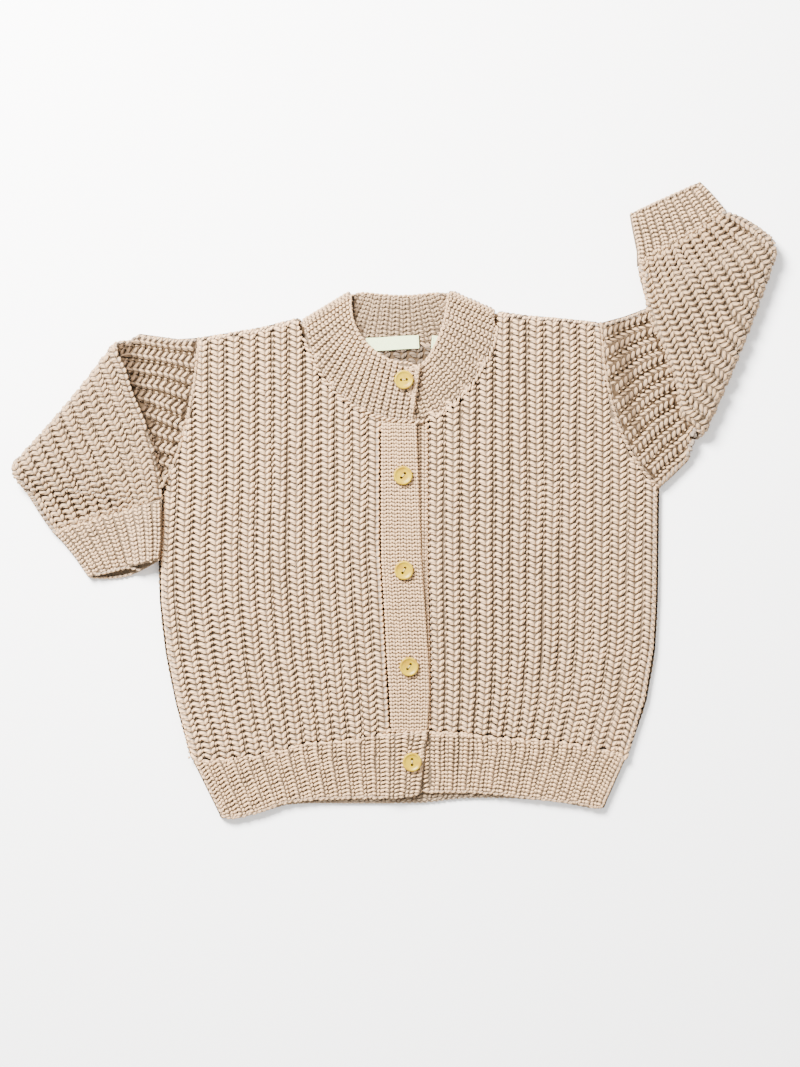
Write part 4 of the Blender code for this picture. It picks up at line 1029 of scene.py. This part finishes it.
sleeveRows = {
    "right": {
        "armhole": ((-130.6, 108.5), (-136.0, 41.0), (-155.5, 8.0)), "shift": -0.66, "bow": -2.0,
        # painted shadow on the upper sleeve beside this line of (x, y, share), with its reach and depth
        "crease": [(-183.0, 112.0, 0.8), (-181.0, 96.0, 1.1), (-175.0, 78.0, 0.9), (-166.0, 52.0, 0.55),
                   (-158.0, 20.0, 0.5), (-155.0, 0.0, 0.4)], "creaseReach": 0.0082, "creaseDepth": 1.0,
        "upper": [(-145.0, 107.6, -185.0, 10.0), (-170.0, 111.2, -215.0, 14.0)],
        "fold": (-182.2, 112.2, -254.8, 25.6),
        "lower": [(-179.0, 88.0, -251.2, 11.5), (-173.5, 70.0, -246.0, 5.0), (-165.5, 52.0, -241.6, -2.5),
                  (-159.5, 32.0, -237.6, -9.0), (-156.0, 16.0, -233.6, -15.0), (-154.6, 1.5, -229.6, -20.5)],
        "cuff": [(-154.6, 1.5, -229.6, -20.5), (-154.3, -12.0, -223.0, -27.5), (-154.6, -27.0, -214.5, -38.0),
                 (-156.0, -40.0, -205.0, -52.0)],
    },
    "left": {
        "armhole": ((137.4, 118.6), (141.0, 38.0), (176.6, 8.0)), "shift": 0.66, "bow": 2.2,
        "crease": [(148.5, 121.0, 0.7), (150.0, 108.0, 1.0), (152.0, 92.0, 1.0), (155.0, 72.0, 0.8),
                   (160.0, 50.0, 0.5)], "creaseReach": 0.0066, "creaseDepth": 0.5,
        "upper": [(153.0, 122.6, 186.6, 16.6), (176.0, 131.0, 196.4, 26.2)],
        "fold": (254.5, 162.2, 203.8, 35.4),
        "lower": [(250.0, 174.6, 190.0, 56.0), (243.6, 181.5, 186.0, 78.0), (238.4, 185.6, 179.5, 98.0),
                  (233.0, 188.6, 171.2, 118.5), (228.0, 190.6, 164.8, 139.0), (222.4, 192.2, 162.0, 155.0)],
        "cuff": [(222.4, 192.2, 162.0, 155.0), (216.6, 199.4, 161.4, 166.0), (210.8, 206.2, 158.6, 180.0),
                 (204.4, 212.6, 156.6, 190.8)],
    },
}


def lineRow(row):
    a, b = fromTable(*row[:2]), fromTable(*row[2:])
    return lambda w: (*a.lerp(b, w), None)


def foldRow(side, angle):
    # the sleeve's outer face part of the way round its fold, from 0 below to 180 on top
    rows = sleeveRows[side]
    foldTop, foldUnder = fromTable(*rows["fold"][:2]), fromTable(*rows["fold"][2:])
    along = (foldUnder - foldTop).normalized()
    outward = Vector((along.y, -along.x))
    if outward.x * outwardOf(side) < 0:
        outward = -outward
    first = lineRow(rows["lower"][0])
    turn = math.radians(angle)
    half, radius = sleeveKnit["half"], sleeveKnit["foldRadius"]

    def at(w):
        place = foldTop.lerp(foldUnder, w) + outward * (rows["bow"] * mm * 4 * w * (1 - w) - half - radius)
        ahead = (Vector(first(w)[:2]) - place).dot(along)
        place += along * (sleeveKnit["slant"] * ahead * angle / 180)
        place += outward * ((radius + half) * math.sin(turn))
        return place.x, place.y, half + radius * (1 - math.cos(turn)) - half * math.cos(turn)

    return at


def rowsPatch(node, lines, columns, pitch, wide=1.0, lap=0, **options):
    # rows run back from the last line to the first
    middle = [line(0.5) for line in lines]
    lengths = [math.dist(a[:2], b[:2]) if None in (a[2], b[2]) else math.dist(a, b)
               for a, b in zip(middle, middle[1:])]
    steps = np.cumsum([0] + lengths)
    rows = steps[-1] / pitch
    index = list(range(len(lines)))

    def place(c, r):
        w = (c / columns - 0.5) * wide + 0.5
        t = float(np.interp((rows - r) * pitch, steps, index))
        k = int(min(t, len(lines) - 1.001))
        spots = [line(w) for line in lines]
        if r < 0:  # past the last line, over what it is sewn to
            ahead = (Vector(spots[-1][:2]) - Vector(spots[-2][:2])).normalized() * (-r * pitch)
            return spots[-1][0] + ahead.x, spots[-1][1] + ahead.y, spots[-1][2]
        x, y = through(index, [s[0] for s in spots], t), through(index, [s[1] for s in spots], t)
        low, high = spots[k][2], spots[k + 1][2]
        return x, y, None if low is None or high is None else mix(low, high, t - k)

    return Patch(node, place, (0, columns), (-lap, rows), **options)


def armholeRow(rows):
    a, b, c = (fromTable(*p) for p in rows["armhole"])
    shift = Vector((rows["shift"] * mm, 0))
    return lambda w: (*(a * (1 - w) ** 2 + b * 2 * w * (1 - w) + c * w**2 + shift), None)


def seamOf(side):  # where a sleeve is sewn to the body, in plan
    at, shift = armholeRow(sleeveRows[side]), sleeveRows[side]["shift"] * mm
    return [(at(w)[0] - shift, at(w)[1]) for w in np.linspace(0.0, 1.0, 30)]


def sleeveLines(side):  # rows along the sleeve's open edges, at every height where it has one
    rows, turn = sleeveRows[side], -outwardOf(side)
    top = [rows["armhole"][0]] + [r[:2] for r in rows["upper"]] + [rows["fold"][:2]]
    under = [rows["armhole"][2]] + [r[2:] for r in rows["upper"]] + [rows["fold"][2:]]
    lowerTop = [rows["fold"][:2]] + [r[:2] for r in rows["lower"]]
    lowerUnder = [rows["fold"][2:]] + [r[2:] for r in rows["lower"]]
    lines = []
    for edge, inside in ((top, turn), (under, -turn), (lowerTop, -turn), (lowerUnder, turn)):
        plan = [tuple(fromTable(*p)) for p in edge]
        for z in sleeveKnit["edgeLevels"]:
            lines.append(edgeLine(side + "_sleeve", plan, z, inside=inside, roll=0.3))
    return lines


def makeSleeve(side):
    rows, columns, pitch = sleeveRows[side], sleeveKnit["columns"], sleeveKnit["rowPitch"]
    node = side + "_sleeve"
    foot = foldRow(side, 0)
    lower = [foldRow(side, angle) for angle in sleeveKnit["foldAngles"]] + [lineRow(r) for r in rows["lower"]]
    upper = [armholeRow(rows)] + [lineRow(r) for r in rows["upper"]] + [lambda w: (*foot(w)[:2], None)]
    over = (0, 0.5) if side == "right" else (0.5, 1)  # the share of its width that lies over the upper sleeve

    def ledge(c, r):
        raised = r > sleeveKnit["ledgeFrom"] and over[0] <= c / columns <= over[1]
        return sleeveKnit["ledge"] if raised else 0.0

    def spill(x, y, c, r):
        return sleeveKnit["spill"]["end" if r < 0.3 and 0.3 < c < columns - 0.3 else "side"]

    yarnOf, purls = Yarn(), Yarn(5, 3)
    # painted shadow on the upper sleeve beside the fold that lies over it
    crease = tabledShade(rows["crease"], rows["creaseReach"], rows["creaseDepth"])
    for lines, options, tuck in ((lower, {**sleeveKnit["lower"], "ledge": ledge}, None),
                                 (upper, dict(sleeveKnit["upper"]), crease)):
        full = options.pop("full", 1.0)
        patch = rowsPatch(node, lines, columns, pitch, spill=spill, **options)
        layKnit(yarnOf, patch, chunkyLegs(sleeveKnit["apex"], full=full), pitch, tuck)
        layKnit(purls, patch, purl, pitch, tuck)
    armhole = topLine([node, side + "_front"], seamOf(side), lift=-0.0008)
    made = [stitched(node + "_stitches", yarnOf, shadedSleeveYarn),
            stitched(node + "_purls", purls, shadedSleeveYarn),
            edged(node + "_edge", sleeveLines(side), "side", pitch * sleeveKnit["edgePitch"],
                  shadedSleeveYarn),
            edged(side + "_armhole_seam", [armhole], "seam", pitch, shadedSleeveYarn)]
    wall = underShell(node, deepShadedUnder, sleeveKnit["inset"], hollow=True)


cuffKnit = {"rowPitch": 0.0027, "inset": 0.0011, "edgeLevels": (0.0018, 0.0062), "edgePitch": 1.3,
            "cut": {"right": (0.130, 0.043), "left": (0.120, 0.035)}}

cuffLegs = [leg((-0.43, 0.36), (-0.20, 0.05), (0.04, -0.44), 0.90, 0.66, -0.26),
            leg((0.09, -0.46), (0.25, -0.02), (0.40, 0.40), 0.84, 0.64, -0.27)]


def makeCuff(side):
    node, pitch = side + "_cuff", cuffKnit["rowPitch"]
    lines = [lineRow(r) for r in sleeveRows[side]["cuff"]]
    yarnOf = Yarn(6, 3)
    layKnit(yarnOf, rowsPatch(node, lines, sleeveKnit["columns"], pitch, perColumn=7), cuffLegs, pitch)
    joined = [lines[0](w)[:2] for w in np.linspace(0.02, 0.98, 20)]
    mouth = [lines[-1](w)[:2] for w in np.linspace(0.0, 1.0, 20)]
    seam = topLine([node, side + "_sleeve"], joined, lift=-0.0007)
    edges = [edgeLine(node, mouth, z, inside=outwardOf(side)) for z in cuffKnit["edgeLevels"]]
    made = [stitched(node + "_stitches", yarnOf, shadedRibYarn),
            edged(node + "_seam", [seam], "seam", sleeveKnit["rowPitch"], shadedSleeveYarn),
            edged(node + "_edge", edges, "castOff", pitch * cuffKnit["edgePitch"], shadedRibYarn)]
    wall = underShell(node, fineUnder, cuffKnit["inset"])


for side in ("right", "left"):
    makeSleeve(side)
    makeCuff(side)
    print("sleeve and cuff", side)


# Back: its inside in the neck, its edges, and the strip of its hem below the fronts

backKnit = {
    "neck": (-34.0, 44.0, 79.0, 108.0),  # left, right, low and high, in millimetres
    "neckLift": -0.34,
    "hemStrip": (-52.0, 92.0, 5.0),  # left, right and depth
    "columnPitch": 10.6,
    "edgeLevel": 0.0018,
    "inset": {"back": 0.0017, "hem": 0.0008},
}


def backPatch():
    left, right, low, high = backKnit["neck"]
    columns, pitch = (right - left) / backKnit["columnPitch"], frontKnit["rowPitch"]

    def place(c, r):
        return tuple(fromTable(left + c * backKnit["columnPitch"], low + r * pitch / mm))

    return Patch("back", place, (0, columns), (0, (high - low) * mm / pitch))


def hemStrip():
    left, right, deep = backKnit["hemStrip"]
    level, pitch = backKnit["edgeLevel"], hemKnit["rowPitch"]
    lowOf = tabled(lambda x: lowerY("back_hem", x, (level,)), left * mm, right * mm, 40)
    columns = (right - left) / backKnit["columnPitch"]

    def place(c, r):
        x = (left + c * backKnit["columnPitch"]) * mm
        return x, lowOf(x) + r * pitch

    return Patch("back_hem", place, (0, columns), (0, deep * mm / pitch), perColumn=7)


def bothSides(linesOf, node):
    return [line for side in ("right", "left") for line in linesOf(side, node, backKnit["edgeLevel"])]


neckLegs = [{**one, "height": 0.64, "dip": (0.22, 0.22)} for one in chunkyLegs(0.08, backKnit["neckLift"])]
neckYarnOf, stripYarnOf = Yarn(), Yarn(6, 3)
pitch, hemPitch = frontKnit["rowPitch"], hemKnit["rowPitch"]
layKnit(neckYarnOf, backPatch(), neckLegs, pitch)
neckStitches = stitched("back_neck_stitches", neckYarnOf, shadedNeckYarn)
backEdge = edged("back_edge", bothSides(sideLines, "back"), "side", pitch, shadedInnerYarn)
hemEdge = edged("back_hem_edge", bothSides(hemLines, "back_hem"), "castOff", hemPitch * hemKnit["edgePitch"],
                shadedInnerYarn)
layKnit(stripYarnOf, hemStrip(), hemLegs["right"], hemPitch)
stripStitches = stitched("back_hem_stitches", stripYarnOf, shadedInnerYarn)
print("back stitches")


# Buttons

button = {
    "turns": (4, 52, 62, 56, 92),  # of the two holes, in degrees, from the neck down
    "around": 64,
    "hole": 0.95,
    "holeSpread": 1.8,
    "threadWidth": 0.34,
    "profile": [(0.0, 1.72), (2.6, 1.72), (3.9, 1.80), (4.6, 2.08), (5.0, 2.42), (5.4, 2.58),
                (5.8, 2.55), (6.12, 2.32), (6.30, 1.90), (6.35, 1.35), (6.22, 0.75), (5.75, 0.28),
                (4.9, 0.04), (0.0, 0.0)],  # radius and height, from the middle of the face to the foot's
}


def woodMaterial():
    g = Graph("light_wood")
    place = g.place()
    x, y, z = g.split(place)
    warp = g.noise(place, 260.0, 3.0)
    grain = ((x * 0.8 + y * 0.6 + warp * 0.0009) * (2 * math.pi / 0.00062)).sin()
    stain = g.noise(place, 210.0, 2.0)
    fleck = g.noise(place, 4200.0, 2.0)
    colour = g.mixColour(stain.above(0.42, 0.72), (0.35, 0.240, 0.0020), (0.28, 0.160, 0.0010))
    colour = g.mixColour(grain.above(0.1, 1.0) * 0.34, colour, (0.22, 0.115, 0.002))
    colour = g.mixColour(fleck.above(0.58, 0.75) * 0.35, colour, (0.17, 0.085, 0.002))
    normal = g.bump(grain * 0.5 + fleck, 0.25, 0.00005)
    return g.finish(Base_Color=colour, Roughness=0.30 + grain * 0.04 + stain * 0.10, Normal=normal,
                    Specular_IOR_Level=0.22)


lightWood = woodMaterial()


def turnedMesh(name):  # the profile turned once round
    work, rings, around = bmesh.new(), [], button["around"]
    for r, z in button["profile"]:
        angles = np.linspace(0, 2 * math.pi, around, endpoint=False) if r else [0]
        rings.append([work.verts.new((r * mm * math.cos(a), r * mm * math.sin(a), z * mm)) for a in angles])
    for a, b in zip(rings, rings[1:]):
        for i in range(around):
            j = (i + 1) % around
            if len(a) == 1:
                work.faces.new((a[0], b[i], b[j]))
            elif len(b) == 1:
                work.faces.new((a[i], b[0], a[j]))
            else:
                work.faces.new((a[i], b[i], b[j], a[j]))
    return closedMesh(work, name)


def drillAt(x):
    work = bmesh.new()
    radius = button["hole"] * mm
    bmesh.ops.create_cone(work, cap_ends=True, segments=24, radius1=radius, radius2=radius, depth=0.008)
    bmesh.ops.translate(work, verts=work.verts, vec=(x, 0, 0.001))
    drill = bpy.data.objects.new("drill", meshFrom(work, "drill"))
    bpy.context.scene.collection.objects.link(drill)
    return drill


def turnedButton(name, centre, floorZ, turn):
    piece = newObject(name, turnedMesh(name), lightWood)
    drills = [drillAt(sign * button["holeSpread"] * mm) for sign in (-1, 1)]
    for drill in drills:
        cut = piece.modifiers.new("hole", "BOOLEAN")
        cut.operation, cut.solver, cut.object = "DIFFERENCE", "EXACT", drill
    bpy.context.view_layer.update()
    drilled = bpy.data.meshes.new_from_object(piece.evaluated_get(bpy.context.evaluated_depsgraph_get()))
    piece.modifiers.clear()
    for drill in drills:
        bpy.data.objects.remove(drill)
    place = Matrix.Translation((centre.x, centre.y, floorZ))
    drilled.transform(place @ Matrix.Rotation(math.radians(turn), 4, "Z"))
    drilled.name = name
    piece.data = drilled
    drilled.shade_smooth()
    drilled.set_sharp_from_angle(angle=math.radians(38))
    return piece


def threadMaterial():
    g = Graph("sewing_thread")
    along, around, _ = g.split(g.add("ShaderNodeUVMap", {"uv_map": "yarn"}))
    strand = ((along * 7 + around * 2) * (2 * math.pi)).sin()
    # painted shade in the grooves between the thread's plies
    colour = g.mixColour(strand.above(0.0, -1.0) * 0.4, (0.50, 0.40, 0.16), (0.26, 0.19, 0.07))
    normal = g.bump(strand + g.noise(g.place(), 5000.0), 0.6, 0.00006)
    return g.finish(Base_Color=colour, Roughness=0.7, Normal=normal)


sewingThread = threadMaterial()


def sewnOn(name, centre, floorZ, turn):  # the strands that hold a button, from hole to hole
    yarnOf = Yarn(6, 5)
    direction = Vector((math.cos(math.radians(turn)), math.sin(math.radians(turn)), 0))
    side = Vector((-direction.y, direction.x, 0))
    t = yarnOf.stations
    lengths = []
    for k, offset in enumerate((-0.21, 0.21)):
        spread = (button["holeSpread"] - 0.35) * (2 * t - 1)
        rise = 0.9 + 1.35 * np.sin(np.pi * np.clip(t, 0.02, 0.98)) ** 0.45 - 0.08 * abs(offset)
        lengths.append([centre + direction * (x * mm) + side * ((offset + 0.05 * math.sin(3 * k + x)) * mm)
                        + Vector((0, 0, floorZ + z * mm)) for x, z in zip(spread, rise)])
    centres = np.array([[tuple(p) for p in line] for line in lengths])
    normals = np.zeros_like(centres)
    normals[..., 2] = 1
    thickness = np.full(len(lengths), button["threadWidth"] * mm)
    yarnOf.lay(centres, normals, thickness, thickness, blunt=0.2)
    return stitched(name, yarnOf, sewingThread)


for k, turn in enumerate(button["turns"], 1):
    node = "button_%d" % k
    low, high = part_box(node)
    centre = (low + high) / 2
    centre.z = 0
    made = turnedButton(node + "_wood", centre, low.z, turn)
    sewnOn(node + "_thread", centre, low.z, turn)
    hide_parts(node)
print("buttons")


# Labels, both blank

labels = {
    "neck_label": {"centre": (-1.5, 104.6), "size": (35.0, 8.8), "turn": 3,
                   "columns": 56, "ripple": 0.35, "curl": 0.9},
    "size_label": {"centre": (29.0, 105.2), "size": (9.0, 8.6), "turn": -4,
                   "columns": 16, "ripple": 0.1, "curl": 0.3},
}
labelCloth = {"rows": 14, "thickness": 0.00036, "seamInset": 0.0011, "seamPitch": 0.0011}


def labelMaterial():
    g = Graph("woven_cotton")
    place = g.place()
    x, y, _ = g.split(place)
    warp = (x * (2 * math.pi / 0.00042)).sin()
    weft = (y * (2 * math.pi / 0.00050)).sin()
    slub = g.noise(place, 900.0, 3.0)
    # painted shade in the hollows of the weave
    colour = g.mixColour((warp * weft).above(-0.2, -1.0) * 0.35, (0.58, 0.68, 0.37), (0.43, 0.48, 0.26))
    colour = g.mixColour(slub * 0.35, colour, (0.47, 0.54, 0.29))
    normal = g.bump(warp * weft, 0.7, 0.00006)
    normal = g.bump(slub, 0.4, 0.00008, normal)
    return g.finish(Base_Color=colour, Roughness=0.75, Normal=normal, Sheen_Weight=0.15)


wovenCotton = labelMaterial()


def labelMesh(name, middle, low, turn):
    label, rows = labels[name], labelCloth["rows"]
    columns, ripple, curl = label["columns"], label["ripple"] * mm, label["curl"] * mm
    width, height = (v * mm for v in label["size"])
    work = bmesh.new()
    upper, lower = [], []
    for grid, rise in ((upper, labelCloth["thickness"]), (lower, 0.0)):
        for i in range(rows + 1):
            v, line = i / rows * 2 - 1, []
            for j in range(columns + 1):
                u = j / columns * 2 - 1
                lift = ripple * (0.5 + 0.5 * math.sin(5.2 * u + 1.0)) * (0.6 - 0.4 * v) * 0.6
                lift += curl * max(0.0, u - 0.55) ** 1.5 * max(0.0, 0.2 - v) * 1.6
                spot = turn @ Vector((u * width / 2, v * height / 2 + 0.00012 * math.sin(3 * u), 0))
                line.append(work.verts.new((middle.x + spot.x, middle.y + spot.y, low + rise + lift)))
            grid.append(line)
    for i in range(rows):
        for j in range(columns):
            work.faces.new((upper[i][j], upper[i][j + 1], upper[i + 1][j + 1], upper[i + 1][j]))
            work.faces.new((lower[i][j], lower[i + 1][j], lower[i + 1][j + 1], lower[i][j + 1]))
    rim = ([(0, j) for j in range(columns)] + [(i, columns) for i in range(rows)]
           + [(rows, j) for j in range(columns, 0, -1)] + [(i, 0) for i in range(rows, 0, -1)])
    for (i, j), (k, m) in zip(rim, rim[1:] + rim[:1]):
        work.faces.new((upper[i][j], lower[i][j], lower[k][m], upper[k][m]))
    mesh = closedMesh(work, name)
    mesh.shade_smooth()
    mesh.set_sharp_from_angle(angle=math.radians(50))
    return mesh


def makeLabel(name):
    middle, low = fromTable(*labels[name]["centre"]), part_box(name)[0].z
    width, height = (v * mm for v in labels[name]["size"])
    turn = Matrix.Rotation(math.radians(labels[name]["turn"]), 4, "Z")
    mesh = labelMesh(name, middle, low, turn)
    piece = newObject(name + "_cloth", mesh, wovenCotton)
    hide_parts(name)
    tree, yarnOf = treeOf(mesh), Yarn(5, 3)
    for sign in (-1, 1):  # a row of small stitches at each end
        x = sign * (width / 2 - labelCloth["seamInset"])
        ends = [turn @ Vector((x, v * height / 2, 0)) for v in np.linspace(-0.92, 0.92, 12)]
        hits = [below(tree, middle.x + e.x, middle.y + e.y) for e in ends]
        line = [(hit, Vector((0, 0, 1))) for hit in hits if hit]
        if len(line) > 2:
            layAlong(yarnOf, line, edgeLobes["sewing"], labelCloth["seamPitch"], 0.5)
    return piece, stitched(name + "_seam", yarnOf, sewingThread)


sewnIn = [piece for name in labels for piece in makeLabel(name)]
print("labels")

wall = underShell("back", deepShadedUnder, backKnit["inset"]["back"])
wall = underShell("back_hem", fineUnder, backKnit["inset"]["hem"])
print("back")


# Floor, light and camera

studio = {
    "floorTone": (0.94, 0.94, 0.94),
    "worldStrength": 1.05,
    "key": {"place": (-0.55, 0.75, 0.95), "size": 0.5, "power": 160, "colour": (1.0, 0.98, 0.96)},
    "fill": {"place": (0.9, -0.5, 1.0), "size": 1.2, "power": 10, "colour": (1, 1, 1)},
}


def areaLight(name):
    lit = studio[name]
    light = bpy.data.lights.new(name, "AREA")
    light.shape, light.size, light.energy, light.color = "SQUARE", lit["size"], lit["power"], lit["colour"]
    lamp = bpy.data.objects.new(name, light)
    lamp.location = lit["place"]
    lamp.rotation_euler = (-Vector(lit["place"])).to_track_quat("-Z", "Y").to_euler()
    bpy.context.scene.collection.objects.link(lamp)


floorMesh = bpy.data.meshes.new("floor")
floorMesh.from_pydata([(-3, -3, 0), (3, -3, 0), (3, 3, 0), (-3, 3, 0)], [], [(0, 1, 2, 3)])
floorGraph = Graph("floor_paper")
floorMesh.materials.append(floorGraph.finish(Base_Color=studio["floorTone"], Roughness=0.9))
floor = bpy.data.objects.new("floor", floorMesh)
floor.location.z = -0.0003
bpy.context.scene.collection.objects.link(floor)

world = bpy.data.worlds.new("soft_room")
world.use_nodes = True
world.node_tree.nodes["Background"].inputs["Color"].default_value = (1, 1, 1, 1)
world.node_tree.nodes["Background"].inputs["Strength"].default_value = studio["worldStrength"]
bpy.context.scene.world = world
areaLight("key")
areaLight("fill")
print("floor and light")

shot = {"place": (0.0035, -0.02235, 1.2), "frameHeight": 0.71489, "sensor": 36}
camera = bpy.data.cameras.new("camera")
camera.sensor_fit, camera.sensor_height = "VERTICAL", shot["sensor"]
camera.lens = shot["sensor"] * shot["place"][2] / shot["frameHeight"]
view = bpy.data.objects.new("camera", camera)
view.location = shot["place"]
bpy.context.scene.collection.objects.link(view)
bpy.context.scene.camera = view
